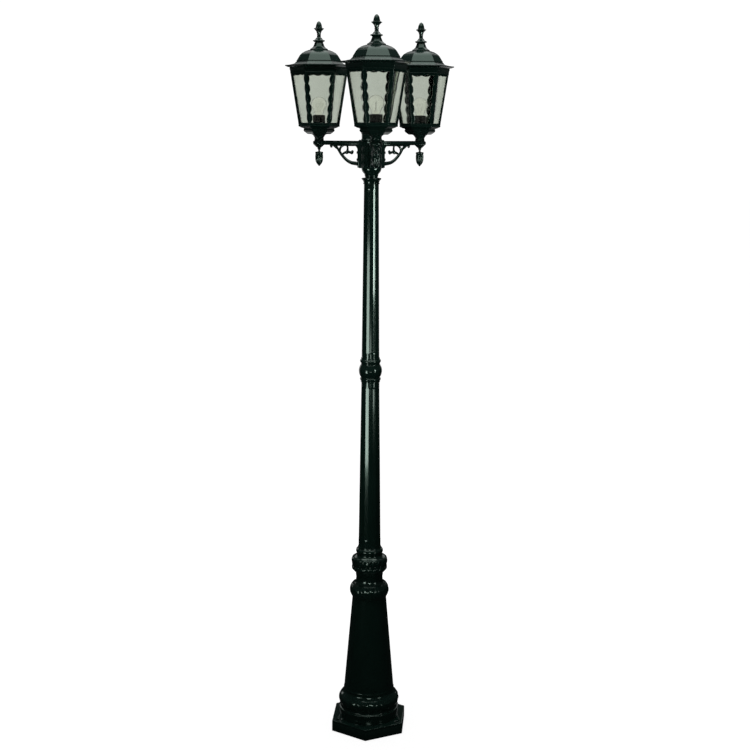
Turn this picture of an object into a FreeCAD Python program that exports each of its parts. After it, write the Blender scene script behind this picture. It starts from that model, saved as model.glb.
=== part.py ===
"""Three-lantern street lamp on a fluted cast post.

Lengths are millimetres, +Z is up. The origin is the centre of the anchor bolt circle on the
underside of the foot. The front arm points towards -Y, the other two 120 degrees either side.
Everything on an arm is drawn about its lantern's axis, with +X pointing away from the post,
and then placed at the end of that arm.
"""

import FreeCAD, Part
import math
import os

import Sketcher
from FreeCAD import Placement, Rotation, Vector

ARMS = {"front": -90, "right": 30, "left": 150}

SIZES = {
    # foot plate: a hollow hexagonal casting with three bolted corners
    "foot_corner": 179,
    "foot_height": 50,
    "foot_wall": 14,
    "foot_roof": 12,
    "foot_turn": -8.5,
    "anchor_circle": 152,
    "anchor_hole": 7,
    "anchor_boss": 17,
    "cable_hole": 60,
    # base column
    "skirt_radius": 129,
    "skirt_head": 94,
    "low_bead_radius": 124,
    "low_bead_foot": 108,
    "low_bead_head": 152,
    "cone_foot_radius": 109,
    "cone_foot": 184,
    "cone_head_radius": 74,
    "cone_head": 602,
    "column_head": 664,
    "column_wall": 8,
    # base collar
    "collar_neck": 59.3,
    "collar_drum": 75.5,
    "drum_foot": 732,
    "drum_head": 787,
    "collar_head": 831,
    # tubes and the sockets that hold them
    "tube_wall": 4,
    "play": 0.2,
    "lower_seat": 735,
    "lower_foot_radius": 48.1,
    "lower_taper_foot": 850,
    "lower_taper_head": 1556,
    "lower_head_radius": 38.7,
    "lower_top": 1604,
    "upper_seat": 1616,
    "upper_foot_radius": 37.8,
    "upper_taper_foot": 1672,
    "upper_taper_head": 2392,
    "upper_head_radius": 31.2,
    "upper_top": 2418,
    "flutes": 16,
    "flute_radius": 4.2,
    "flute_margin": 22,
    # mid joint
    "joint_foot": 1562,
    "joint_head": 1666,
    "joint_ring": 41,
    "ball_edge": 42,
    "ball_foot": 1585,
    "ball_head": 1635,
    # capital ring and hub
    "capital_foot": 2398,
    "capital_rim": 41,
    "hub_foot": 2424,
    "hub_neck": 26.5,
    "hub_radius": 41.5,
    "hub_shoulder": 2464,
    "hub_head": 2603,
    "hub_wall": 6,
    "lug_face": 54,
    "lug_width": 26,
    "lug_foot": 2462,
    "lug_head": 2578,
    # arms
    "arm_reach": 246,
    "bar_foot": 2556,
    "bar_head": 2574,
    "bar_width": 16,
    "stem_face": 62,
    "stem_foot": 2464,
    "corner_fillet": 22,
    "lead_bore": 4.5,
    "lead_level": 2565,
    "lead_radius": 2.5,
    "cup_foot": 2540,
    "cup_head": 2580,
    "cup_radius": 26,
    "scroll_radius": 5,
    "low_arm_screw": 2497,
    "high_arm_screw": 2526,
    "arm_screw_radius": 4,
    "pendant_tip": 2468,
    "pendant_radius": 16,
    # lantern
    "nipple_radius": 6,
    "nipple_bore": 4,
    "nipple_head": 2614,
    "dish_floor": 2606,
    "cage_foot": 2631,
    "cage_head": 2873.5,
    "cage_foot_corner": 85.4,
    "cage_head_corner": 123.1,
    "cage_wall": 5.5,
    "window_foot": 2647,
    "window_head": 2843.5,
    "window_foot_half": 34.7,
    "window_head_half": 49.6,
    "scallop_bulge": 0.22,
    "pane_thickness": 3,
    "pane_gap": 0.4,
    "pane_foot": 2633.5,
    "pane_head": 2869,
    "brim_corner": 141.5,
    "roof_head": 2975,
    "roof_head_corner": 17,
    "finial_stud": 4,
    "finial_tip": 3060,
    # lampholder and bulb
    "holder_radius": 24.5,
    "holder_head": 2681,
    "holder_bore": 13.8,
    "bulb_cap_radius": 13.2,
    "bulb_cap_foot": 2643,
    "bulb_cap_head": 2675,
    "contact_radius": 9.7,
    "bulb_radius": 30,
    "bulb_middle": 2724,
    # wiring inside the base column
    "bracket_distance": 74,
    "bracket_thickness": 3,
    "bracket_width": 36,
    "bracket_head": 330,
    "block_foot": 262,
    "block_head": 318,
    "block_depth": 20,
    "riser_radius": 5,
    "riser_straight": 478,
    "riser_head": 2556,
    # socket set screws
    "set_screw_radius": 3,
    "collar_screw_level": 758,
    "joint_screw_low": 1595,
    "joint_screw_high": 1627,
}


class Size:
    """A number together with the spreadsheet formula that gives it."""

    def __init__(self, value, formula):
        self.value = float(value)
        self.formula = formula

    def combined(self, sign, other):
        other = size(other)
        value = {"+": self.value + other.value, "-": self.value - other.value,
                 "*": self.value * other.value}[sign]
        return Size(value, f"({self.formula} {sign} {other.formula})")

    def __add__(self, other):
        return self.combined("+", other)

    def __sub__(self, other):
        return self.combined("-", other)

    def __rsub__(self, other):
        return size(other).combined("-", self)

    def __mul__(self, other):
        return self.combined("*", other)

    def __neg__(self):
        return self.combined("*", -1)


def size(thing):
    """A Size from a Size, a name in the sheet or a plain number."""
    if isinstance(thing, Size):
        return thing
    if isinstance(thing, str):
        return Size(SIZES[thing], f"Sizes.{thing}")
    return Size(thing, repr(thing))


def bind(thing, path, value):
    thing.setExpression(path, size(value).formula)


doc = FreeCAD.newDocument("street_lamp")
sheet = doc.addObject("Spreadsheet::Sheet", "Sizes")
for row, (name, number) in enumerate(SIZES.items(), 1):
    sheet.set(f"A{row}", name)
    sheet.set(f"B{row}", str(number))
    sheet.setAlias(f"B{row}", name)
doc.recompute()

sub_parts = []


# ---------------------------------------------------------------- sketches and features

def new_body(label):
    body = doc.addObject("PartDesign::Body", label)
    body.Label = label
    sub_parts.append(body)
    return body


def origin_plane(body, role):
    return next(item for item in body.Origin.OriginFeatures if item.Role == role)


def new_sketch(body, role="XZ_Plane", level=0):
    """A sketch on an origin plane, or parallel to it at a distance."""
    sketch = body.newObject("Sketcher::SketchObject", "sketch")
    sketch.AttachmentSupport = [(origin_plane(body, role), "")]
    sketch.MapMode = "FlatFace"
    bind(sketch, "AttachmentOffset.Base.z", level)
    return sketch


def hold(sketch, kind, element, end, value):
    """Pins one coordinate of a point to a formula."""
    constraint = Sketcher.Constraint(kind, -1, 1, element, end, size(value).value)
    index = sketch.addConstraint(constraint)
    bind(sketch, f"Constraints[{index}]", value)


def draw_edge(sketch, start, finish, bulge):
    """A line, or an arc that bulges to the right of its direction. Returns its index and ends."""
    ends = [Vector(size(x).value, size(y).value, 0) for x, y in (start, finish)]
    if not bulge:
        return sketch.addGeometry(Part.LineSegment(*ends), False), 1, 2
    run = ends[1] - ends[0]
    crown = (ends[0] + ends[1]) * 0.5 + Vector(run.y, -run.x, 0) * (bulge / 2)
    index = sketch.addGeometry(Part.Arc(ends[0], crown, ends[1]), False)
    ordered = sketch.getPoint(index, 1).distanceToPoint(ends[0]) < 1e-6
    return (index, 1, 2) if ordered else (index, 2, 1)


def arc_radius(start, finish, bulge):
    """The radius of a bulged arc, from the distance between its ends."""
    squares = []
    for one, other in zip(start, finish):
        step = size(other) - one
        squares.append(step * step)
    chord_squared = squares[0] + squares[1]
    factor = (1 + bulge ** 2) / (4 * abs(bulge))
    value = math.sqrt(chord_squared.value) * factor
    return Size(value, f"sqrt({chord_squared.formula}) * {factor}")


def draw_outline(sketch, points, closed=True):
    """Points are (x, y) or (x, y, bulge), the bulge of the edge that arrives at the point."""
    count = len(points)
    edges = []
    for index in range(count if closed else count - 1):
        start, finish = points[index], points[(index + 1) % count]
        bulge = finish[2] if len(finish) > 2 else 0
        element, first, last = draw_edge(sketch, start[:2], finish[:2], bulge)
        edges.append((element, first, last))
        hold(sketch, "DistanceX", element, first, start[0])
        hold(sketch, "DistanceY", element, first, start[1])
        if bulge:
            radius = arc_radius(start, finish, bulge)
            constraint = Sketcher.Constraint("Radius", element, radius.value)
            bind(sketch, f"Constraints[{sketch.addConstraint(constraint)}]", radius)
    for here, following in zip(edges, edges[1:] + edges[:1] if closed else edges[1:]):
        sketch.addConstraint(Sketcher.Constraint(
            "Coincident", here[0], here[2], following[0], following[1]))
    if not closed:
        hold(sketch, "DistanceX", edges[-1][0], edges[-1][2], points[-1][0])
        hold(sketch, "DistanceY", edges[-1][0], edges[-1][2], points[-1][1])


def draw_circle(sketch, x, y, radius):
    centre = Vector(size(x).value, size(y).value, 0)
    element = sketch.addGeometry(Part.Circle(centre, Vector(0, 0, 1), size(radius).value), False)
    hold(sketch, "DistanceX", element, 3, x)
    hold(sketch, "DistanceY", element, 3, y)
    constraint = Sketcher.Constraint("Radius", element, size(radius).value)
    bind(sketch, f"Constraints[{sketch.addConstraint(constraint)}]", radius)


def add_feature(body, kind, sketch, **settings):
    """Adds a PartDesign feature and checks that it really adds or removes material."""
    doc.recompute()
    before = body.Shape.Volume if body.Tip else 0
    feature = body.newObject(f"PartDesign::{kind}", kind.lower())
    feature.Profile = sketch
    for name, value in settings.items():
        if isinstance(value, (Size, str)) and name.startswith("Length"):
            bind(feature, name, value)
        else:
            setattr(feature, name, value)
    doc.recompute()
    change = body.Shape.Volume - before
    wanted = kind in ("Pad", "Revolution", "AdditiveLoft")
    if (change > 0) != wanted or abs(change) < 1e-3:
        raise RuntimeError(f"{body.Label}: {kind} changes the volume by {change:.3f}")
    return feature


def revolve(body, points):
    sketch = new_sketch(body)
    draw_outline(sketch, points)
    return add_feature(body, "Revolution", sketch, ReferenceAxis=(sketch, ["V_Axis"]), Angle=360)


def repeat_around(body, features, axis_sketch, count):
    """Repeats features evenly round the body's Z axis."""
    pattern = body.newObject("PartDesign::PolarPattern", "pattern")
    pattern.Originals = features
    pattern.Axis = (axis_sketch, ["N_Axis"])
    pattern.Angle = 360
    bind(pattern, "Occurrences", count)
    body.Tip = pattern
    doc.recompute()
    return pattern


def polygon(corner, sides=6, turn=30):
    """Corners of a regular polygon about the origin, the first one at the angle turn."""
    corner = size(corner)
    angles = [math.radians(turn + 360 * side / sides) for side in range(sides)]
    return [(corner * math.cos(angle), corner * math.sin(angle)) for angle in angles]


def hexagon_loft(body, kind, sections, turn=30):
    """Joins hexagons given as (corner radius, height) by flat faces."""
    sketches = []
    for corner, level in sections:
        sketch = new_sketch(body, "XY_Plane", level)
        draw_outline(sketch, polygon(corner, turn=turn))
        sketches.append(sketch)
    return add_feature(body, kind, sketches[0], Sections=sketches[1:], Ruled=True)


def round_hole(body, x, y, radius, level, depth, upwards=True):
    sketch = new_sketch(body, "XY_Plane", level)
    draw_circle(sketch, x, y, radius)
    return add_feature(body, "Pocket", sketch, Length=size(depth), Reversed=upwards)


def radial_holes(body, level, radius, depth, count=3):
    """Holes that run outwards from the axis, one along +X and the rest evenly round it."""
    sketch = new_sketch(body, "YZ_Plane")
    draw_circle(sketch, 0, level, radius)
    hole = add_feature(body, "Pocket", sketch, Length=size(depth), Reversed=True)
    axis = new_sketch(body, "XY_Plane")
    repeat_around(body, [hole], axis, count)


def radial_pins(body, level, radius, start, length, count=3):
    """Pins that run outwards from the axis."""
    sketch = new_sketch(body, "YZ_Plane", start)
    draw_circle(sketch, 0, level, radius)
    pin = add_feature(body, "Pad", sketch, Length=size(length))
    axis = new_sketch(body, "XY_Plane")
    repeat_around(body, [pin], axis, count)


def turn_body(body, degrees):
    """Turns a body about the post's axis."""
    bind(body, "Placement.Rotation.Angle", degrees)


def place_on_arm(thing, side):
    """Moves a piece drawn about its lantern's axis to the end of its arm."""
    angle = math.radians(ARMS[side])
    thing.Placement = Placement(Vector(), Rotation(Vector(0, 0, 1), ARMS[side]))
    bind(thing, "Placement.Base.x", size("arm_reach") * math.cos(angle))
    bind(thing, "Placement.Base.y", size("arm_reach") * math.sin(angle))


def swept_rod(label, points, radius):
    """A round rod along tangent arcs and lines in the XZ plane, its first point first."""
    path = doc.addObject("Sketcher::SketchObject", f"{label}_path")
    path.Placement = Placement(Vector(), Rotation(Vector(1, 0, 0), 90))
    draw_outline(path, points, closed=False)
    section = doc.addObject("Part::Circle", f"{label}_section")
    bind(section, "Radius", radius)
    doc.recompute()
    edge = path.Shape.OrderedEdges[0]
    start = path.Shape.OrderedVertexes[0].Point
    heading = edge.tangentAt(edge.FirstParameter)
    if (edge.valueAt(edge.FirstParameter) - start).Length > 1e-6:
        heading = -edge.tangentAt(edge.LastParameter)
    upright = Rotation(Vector(0, 0, 1), heading)
    section.Placement = Placement(start, upright * Rotation(Vector(0, 0, 1), 37))
    rod = doc.addObject("Part::Sweep", label)
    rod.Sections = [section]
    rod.Spine = (path, [f"Edge{number + 1}" for number in range(len(path.Shape.Edges))])
    rod.Solid = True
    rod.Transition = "Round corner"
    return rod


def dome(radius, rise):
    """The bulge of an arc that meets the axis squarely after rising that far."""
    return math.tan(math.atan2(rise, radius) / 2)


def flowing(points, heading):
    """Adds bulges to a list of points so that each arc carries on from the last one."""
    path = [points[0]]
    direction = math.radians(heading)
    for start, finish in zip(points, points[1:]):
        step = [size(other).value - size(one).value for one, other in zip(start, finish)]
        chord = math.atan2(step[1], step[0])
        half_turn = math.remainder(chord - direction, 2 * math.pi)
        path.append((*finish, math.tan(half_turn / 2)))
        direction = chord + half_turn
    return path


# ---------------------------------------------------------------- foot, column and collar

def make_foot_plate():
    body = new_body("foot_plate")
    outside = new_sketch(body, "XY_Plane")
    draw_outline(outside, polygon("foot_corner", turn=-90))
    slab = add_feature(body, "Pad", outside, Length=size("foot_height"))
    rim = body.newObject("PartDesign::Chamfer", "rim")
    rim.Base = (slab, ["Face8"])
    rim.Size = 4
    doc.recompute()
    hollow = new_sketch(body, "XY_Plane")
    draw_outline(hollow, polygon(size("foot_corner") - size("foot_wall"), turn=-90))
    add_feature(body, "Pocket", hollow, Length=size("foot_height") - "foot_roof", Reversed=True)
    round_hole(body, 0, 0, "cable_hole", 0, "foot_height")
    angle = math.radians(-30)
    bolt = [size("anchor_circle") * math.cos(angle), size("anchor_circle") * math.sin(angle)]
    sketch = new_sketch(body, "XY_Plane")
    draw_circle(sketch, *bolt, "anchor_boss")
    boss = add_feature(body, "Pad", sketch, Length=size("foot_height") - 2)
    repeat_around(body, [boss], sketch, 3)
    sketch = new_sketch(body, "XY_Plane")
    draw_circle(sketch, *bolt, "anchor_hole")
    hole = add_feature(body, "Pocket", sketch, Length=size("foot_height"), Reversed=True)
    repeat_around(body, [hole], sketch, 3)
    turn_body(body, "foot_turn")


def make_base_column():
    skirt, bead, wall = size("skirt_radius"), size("low_bead_radius"), size("column_wall")
    foot, head = size("foot_height"), size("cone_head")
    revolve(new_body("base_column"), [
        (skirt, foot),
        (skirt + 3, size("skirt_head") - 4),
        (skirt - 1, "skirt_head", 0.4),
        (bead, size("skirt_head") + 6, -0.3),
        (bead, "low_bead_foot"),
        (bead, "low_bead_head", 0.34),
        (bead - 4, size("low_bead_head") + 4),
        ("cone_foot_radius", "cone_foot", -0.25),
        ("cone_head_radius", head),
        (size("cone_head_radius") + 1, "column_head", 0.32),
        (58, "column_head"),
        (size("cone_head_radius") - wall, head),
        (size("cone_foot_radius") - wall, "cone_foot"),
        (bead - 10, "low_bead_head"),
        (bead - 10, foot),
    ])


def make_base_collar():
    neck, drum = size("collar_neck"), size("collar_drum")
    socket = size("lower_foot_radius") + "play"
    body = new_body("base_collar")
    revolve(body, [
        (neck + 5.5, "column_head"),
        (neck, size("drum_foot") - 29, -0.2),
        (neck + 1.5, size("drum_foot") - 17),
        (drum, "drum_foot", 0.12),
        (drum - 1, size("drum_foot") + 19, 0.08),
        (drum, size("drum_head") - 7, 0.1),
        (drum - 5, "drum_head", 0.4),
        (neck - 3, size("drum_head") + 10, -0.3),
        (neck - 4, size("collar_head") - 8, 0.36),
        (socket + 2.5, "collar_head", -0.2),
        (socket, "collar_head"),
        (socket, "lower_seat"),
        (socket - 6, "lower_seat"),
        (socket - 6, "column_head"),
    ])
    radial_holes(body, "collar_screw_level", size("set_screw_radius") + 0.1, drum + 10)


# ---------------------------------------------------------------- fluted tubes and joints

def make_tube(label, seat, taper_foot, taper_head, top, foot_radius, head_radius):
    """A tapered tube with a straight spigot at each end and shallow flutes between them."""
    foot_radius, head_radius, wall = size(foot_radius), size(head_radius), size("tube_wall")
    body = new_body(label)
    revolve(body, [
        (foot_radius, seat),
        (foot_radius, taper_foot),
        (head_radius, taper_head),
        (head_radius, top),
        (head_radius - wall, top),
        (head_radius - wall, taper_head),
        (foot_radius - wall, taper_foot),
        (foot_radius - wall, seat),
    ])
    sketches = []
    for level, radius in ((size(taper_foot) + "flute_margin", foot_radius),
                          (size(taper_head) - "flute_margin", head_radius)):
        sketch = new_sketch(body, "XY_Plane", level)
        draw_circle(sketch, radius + size("flute_radius") - 1.6, 0, "flute_radius")
        sketches.append(sketch)
    flute = add_feature(body, "SubtractiveLoft", sketches[0], Sections=sketches[1:])
    repeat_around(body, [flute], sketches[0], "flutes")


def make_mid_joint():
    ring, ball = size("joint_ring"), size("ball_edge")
    foot, head = size("joint_foot"), size("joint_head")
    low_bore, high_bore = (size(radius) + "play"
                           for radius in ("lower_head_radius", "upper_foot_radius"))
    body = new_body("mid_joint")
    revolve(body, [
        (ring + 0.4, foot),
        (ring, foot + 6),
        (ring, foot + 19, 0.55),
        (ball, "ball_foot"),
        (ball, "ball_head", 0.3),
        (ring - 0.3, size("ball_head") + 7, -0.3),
        (ring, size("ball_head") + 11),
        (ring, head - 7, 0.58),
        (ring - 0.9, head),
        (high_bore, head),
        (high_bore, "upper_seat"),
        (high_bore - 8, "upper_seat"),
        (high_bore - 8, "lower_top"),
        (low_bore, "lower_top"),
        (low_bore, foot),
    ])
    for level in ("joint_screw_low", "joint_screw_high"):
        radial_holes(body, level, size("set_screw_radius") + 0.1, ball + 20)


def make_capital_ring():
    bore, foot = size("upper_head_radius") + "play", size("capital_foot")
    rim = size("capital_rim")
    revolve(new_body("capital_ring"), [
        (bore + 2, foot),
        (bore + 1.4, foot + 5),
        (rim, foot + 21, -0.25),
        (rim - 1, foot + 25),
        (bore - 2, "hub_foot"),
        (bore - 9, "hub_foot"),
        (bore - 9, "upper_top"),
        (bore, "upper_top"),
        (bore, foot),
    ])


def make_hub():
    """The vase and drum, with a flat-faced lug and a lead hole for each arm."""
    neck, drum, foot = size("hub_neck"), size("hub_radius"), size("hub_foot")
    bore = drum - "hub_wall"
    body = new_body("hub")
    revolve(body, [
        (neck, foot),
        (neck + 0.6, foot + 7),
        (neck + 8, foot + 20, -0.15),
        (drum, "hub_shoulder", 0.2),
        (drum, "hub_head"),
        (bore, "hub_head"),
        (bore, size("hub_shoulder") + 4),
        (neck - 6, foot + 14),
        (neck - 6, foot),
    ])
    half = size("lug_width") * 0.5
    sketch = new_sketch(body, "YZ_Plane", drum - 4)
    draw_outline(sketch, [(-half, "lug_foot"), (half, "lug_foot"),
                          (half, "lug_head"), (-half, "lug_head")])
    lug = add_feature(body, "Pad", sketch, Length=size("lug_face") - drum + 4)
    axis = new_sketch(body, "XY_Plane")
    repeat_around(body, [lug], axis, 3)
    radial_holes(body, "lead_level", "lead_bore", size("lug_face") + 5)
    for level in ("low_arm_screw", "high_arm_screw"):
        radial_holes(body, level, size("arm_screw_radius") + 0.1, size("lug_face") + 5)
    turn_body(body, ARMS["right"])


def make_hub_cap():
    """A domed lid whose spigot drops into the drum."""
    drum, head = size("hub_radius"), size("hub_head")
    spigot = drum - "hub_wall" - "play"
    revolve(new_body("hub_cap"), [
        (0, head - 8),
        (spigot, head - 8),
        (spigot, head),
        (drum + 2, head),
        (drum + 2, head + 4),
        (drum - 4, head + 8, 0.2),
        (8, head + 26, 0.3),
        (9, head + 34, 0.3),
        (0, head + 40, dome(9, 6)),
    ])


# ---------------------------------------------------------------- wiring and screws in the post

def make_wiring():
    """The bracket that stands on the foot, its terminal block and the cable up the post."""
    distance, thick = size("bracket_distance"), size("bracket_thickness")
    half, foot = size("bracket_width") * 0.5, size("foot_height")
    bracket = new_body("terminal_bracket")
    sketch = new_sketch(bracket)
    draw_outline(sketch, [
        (distance, foot), (distance + 28, foot), (distance + 28, foot + thick),
        (distance + thick, foot + thick), (distance + thick, "bracket_head"),
        (distance, "bracket_head")])
    add_feature(bracket, "Pad", sketch, Length=half * 2, Midplane=True)

    block = new_body("terminal_block")
    sketch = new_sketch(block)
    draw_outline(sketch, [
        (distance - "block_depth", "block_foot"), (distance, "block_foot"),
        (distance, "block_head"), (distance - "block_depth", "block_head")])
    add_feature(block, "Pad", sketch, Length=half * 2 - 6, Midplane=True)

    start = distance - size("block_depth") * 0.5
    middle = (size("block_head") + "riser_straight") * 0.5
    path = flowing([(start, "block_head"), (start * 0.5, middle), (0, "riser_straight")], 90)
    riser = swept_rod("riser_cable", [*path, (0, "riser_head")], "riser_radius")
    sub_parts.append(riser)
    for thing in (bracket, block):
        turn_body(thing, 90)
    riser.Placement = Placement(Vector(), Rotation(Vector(0, 0, 1), 90))


def make_set_screws():
    collar = new_body("collar_screws")
    start = size("lower_foot_radius") + 0.1
    radial_pins(collar, "collar_screw_level", "set_screw_radius", start,
                size("collar_drum") - start - 1)
    joint = new_body("joint_screws")
    features = []
    for level, radius in (("joint_screw_low", "lower_head_radius"),
                          ("joint_screw_high", "upper_foot_radius")):
        sketch = new_sketch(joint, "YZ_Plane", size(radius) + 0.1)
        draw_circle(sketch, 0, level, "set_screw_radius")
        features.append(add_feature(joint, "Pad", sketch, Length=size("ball_edge") - radius + 3))
    axis = new_sketch(joint, "XY_Plane")
    repeat_around(joint, features, axis, 3)

    arms = new_body("arm_screws")
    features = []
    for level in ("low_arm_screw", "high_arm_screw"):
        shank = new_sketch(arms, "YZ_Plane", size("hub_radius") - "hub_wall")
        draw_circle(shank, 0, level, "arm_screw_radius")
        length = size("stem_face") - "hub_radius" + "hub_wall"
        features.append(add_feature(arms, "Pad", shank, Length=length))
        cap = new_sketch(arms, "YZ_Plane", "stem_face")
        draw_circle(cap, 0, level, size("arm_screw_radius") + 2.5)
        features.append(add_feature(arms, "Pad", cap, Length=size(5)))
    axis = new_sketch(arms, "XY_Plane")
    repeat_around(arms, features, axis, 3)
    turn_body(arms, ARMS["right"])


# ---------------------------------------------------------------- arms

def make_arm(side):
    """The top bar, the upright that is screwed to the hub and the cup under the lantern."""
    foot, head, cup = size("cup_foot"), size("cup_head"), size("cup_radius")
    inside, fillet = cup - 9, size("corner_fillet")
    body = new_body(f"arm_{side}")
    revolve(body, [
        (3.1, foot),
        (6.5, foot),
        (7, foot + 4),
        (12, foot + 7, 0.2),
        (cup - 2, foot + 18, -0.08),
        (cup, foot + 24),
        (cup, foot + 29, 0.3),
        (cup - 6, head - 5, -0.15),
        (cup - 6.5, head),
        (size("nipple_radius") + 0.1, head),
        (size("nipple_radius") + 0.1, "bar_head"),
        (inside, "bar_head"),
        (inside, foot + 19),
        (0, foot + 13, -dome(inside.value, 6)),
        (0, foot + 9),
        (3.1, foot + 9),
    ])
    hub_face, stem_face = (size(face) - "arm_reach" for face in ("lug_face", "stem_face"))
    sketch = new_sketch(body)
    draw_outline(sketch, [
        (hub_face, "stem_foot"), (stem_face, "stem_foot"),
        (stem_face, size("bar_foot") - fillet),
        (stem_face + fillet, "bar_foot", -math.tan(math.pi / 8)),
        (-inside - 4, "bar_foot"), (-inside - 4, "bar_head"), (hub_face, "bar_head")])
    add_feature(body, "Pad", sketch, Length=size("bar_width"), Midplane=True)
    sketch = new_sketch(body, "YZ_Plane", hub_face)
    draw_circle(sketch, 0, "lead_level", "lead_bore")
    add_feature(body, "Pocket", sketch, Length=-hub_face, Reversed=True)
    for level in ("low_arm_screw", "high_arm_screw"):
        sketch = new_sketch(body, "YZ_Plane", hub_face)
        draw_circle(sketch, 0, level, size("arm_screw_radius") + 0.1)
        depth = size("stem_face") - "lug_face"
        add_feature(body, "Pocket", sketch, Length=depth, Reversed=True)
    place_on_arm(body, side)


def from_post(distance):
    """The place of a point on an arm, from its distance to the post's axis."""
    return size(distance) - "arm_reach"


def make_scroll(side):
    """The cast scroll in the corner under the bar: a long curl, its branch, a leaf and a bead."""
    bar, start = size("bar_foot"), size("stem_foot") + 15
    curl = flowing([
        (from_post("stem_face") - 2, start),
        (from_post(102), start + 8),
        (from_post(137), start + 35),
        (from_post(153), start + 56),
        (from_post(167), bar + 3),
    ], 0)
    branch = flowing([(from_post(149.5), start + 50), (from_post(144), start + 69),
                      (from_post(126), bar + 3)], 100)
    leaf = flowing([(from_post(139), start + 36), (from_post(116), start + 48),
                    (from_post(92), start + 47)], 140)
    rods = [swept_rod(f"scroll_{side}_{name}", path, size("scroll_radius") * share)
            for name, path, share in (("curl", curl, 1), ("branch", branch, 0.88),
                                      ("leaf", leaf, 0.92))]
    for radius, distance, level in ((6.5, 92, start + 46), (7.5, 115, start + 48),
                                    (6, 188, bar - 5)):
        blob = doc.addObject("Part::Sphere", f"scroll_{side}_blob")
        blob.Radius = radius
        blob.Placement.Rotation = Rotation(Vector(0, 1, 0), 90) * Rotation(Vector(1, 0, 0), 90)
        bind(blob, "Placement.Base.x", from_post(distance))
        bind(blob, "Placement.Base.z", level)
        rods.append(blob)
    stem = doc.addObject("Part::Cylinder", f"scroll_{side}_stem")
    stem.Placement.Rotation = Rotation(Vector(0, 0, 1), 40)
    for path, value in (("Radius", size("scroll_radius") * 0.8), ("Height", bar - start - 50),
                        ("Placement.Base.x", from_post(112)), ("Placement.Base.z", start + 50)):
        bind(stem, path, value)
    rail = doc.addObject("Part::Box", f"scroll_{side}_rail")
    inner_end = size("stem_face") + "corner_fillet"
    for path, value in (("Length", 194 - inner_end), ("Width", 8), ("Height", 3),
                        ("Placement.Base.x", from_post(inner_end)),
                        ("Placement.Base.y", -4), ("Placement.Base.z", bar - 3)):
        bind(rail, path, value)
    rods += [stem, rail]
    casting = doc.addObject("Part::MultiFuse", f"scroll_{side}_casting")
    casting.Shapes = rods
    ceiling = doc.addObject("Part::Box", f"scroll_{side}_ceiling")
    for path, value in (("Length", "arm_reach"), ("Width", 60), ("Height", 40),
                        ("Placement.Base.x", from_post("stem_face")),
                        ("Placement.Base.y", -30), ("Placement.Base.z", bar)):
        bind(ceiling, path, value)
    wall = doc.addObject("Part::Box", f"scroll_{side}_wall")
    for path, value in (("Length", 40), ("Width", 60), ("Height", 120),
                        ("Placement.Base.x", from_post("stem_face") - 40),
                        ("Placement.Base.y", -30), ("Placement.Base.z", start - 20)):
        bind(wall, path, value)
    corner = doc.addObject("Part::Fuse", f"scroll_{side}_corner")
    corner.Base, corner.Tool = ceiling, wall
    trimmed = doc.addObject("Part::Cut", f"scroll_{side}")
    trimmed.Base, trimmed.Tool = casting, corner
    place_on_arm(trimmed, side)
    sub_parts.append(trimmed)


def make_pendant(side):
    tip, radius, head = size("pendant_tip"), size("pendant_radius"), size("cup_foot")
    body = new_body(f"pendant_{side}")
    revolve(body, [
        (0, tip),
        (4, tip + 1, dome(4, 1)),
        (radius - 5, tip + 12, 0.1),
        (radius - 0.5, tip + 32, 0.12),
        (radius, tip + 53, 0.03),
        (radius + 0.7, tip + 57),
        (radius - 1.5, tip + 59),
        (4, tip + 61),
        (4, head - 3),
        (6, head - 2),
        (6, head),
        (3, head),
        (3, head + 8),
        (0, head + 8),
    ])
    place_on_arm(body, side)


# ---------------------------------------------------------------- lanterns

def make_nipple(side):
    body = new_body(f"nipple_{side}")
    radius, bore = size("nipple_radius"), size("nipple_bore")
    foot = size("bar_head") - 4
    revolve(body, [(radius, foot), (radius, "nipple_head"), (bore, "nipple_head"), (bore, foot)])
    place_on_arm(body, side)


def make_dish(side):
    """A turned neck under a stepped hexagonal dish."""
    foot, head, corner = size("cup_head"), size("cage_foot"), size("cage_foot_corner")
    body = new_body(f"dish_{side}")
    revolve(body, [
        (0, foot),
        (18.5, foot),
        (19.5, foot + 6),
        (25, foot + 16.5, -0.1),
        (46, foot + 23, -0.2),
        (46, foot + 25),
        (0, foot + 25),
    ])
    hexagon_loft(body, "AdditiveLoft", [
        (corner - 37, foot + 21),
        (corner - 25, foot + 29),
        (corner - 20.5, foot + 32.5),
        (corner - 20.5, foot + 44),
        (corner - 7, foot + 48.5),
        (corner - 3, head),
    ])
    hexagon_loft(body, "SubtractiveLoft", [
        (corner - 44, "dish_floor"),
        (corner - 27, foot + 42),
        (corner - 11, head + 1),
    ])
    round_hole(body, 0, 0, size("nipple_radius") + 0.1, foot, size("dish_floor") - foot)
    place_on_arm(body, side)


def window_outline():
    """One window, whose sides and head are cut in scallops that swell into the opening."""
    foot, head = size("window_foot"), size("window_head")
    low, high, bulge = size("window_foot_half"), size("window_head_half"), SIZES["scallop_bulge"]
    side_scallops, head_scallops = 5, 3
    right = []
    for index in range(side_scallops + 1):
        part = index / side_scallops
        point = (low + (high - low) * part, foot + (head - foot) * part)
        right.append(point + (-bulge,) if index else point)
    across = [(high - high * (2 * index / head_scallops), head, -bulge)
              for index in range(1, head_scallops + 1)]
    left = [(-x, y, -bulge) for x, y, *_ in reversed(right[:-1])]
    return right + across + left


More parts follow.
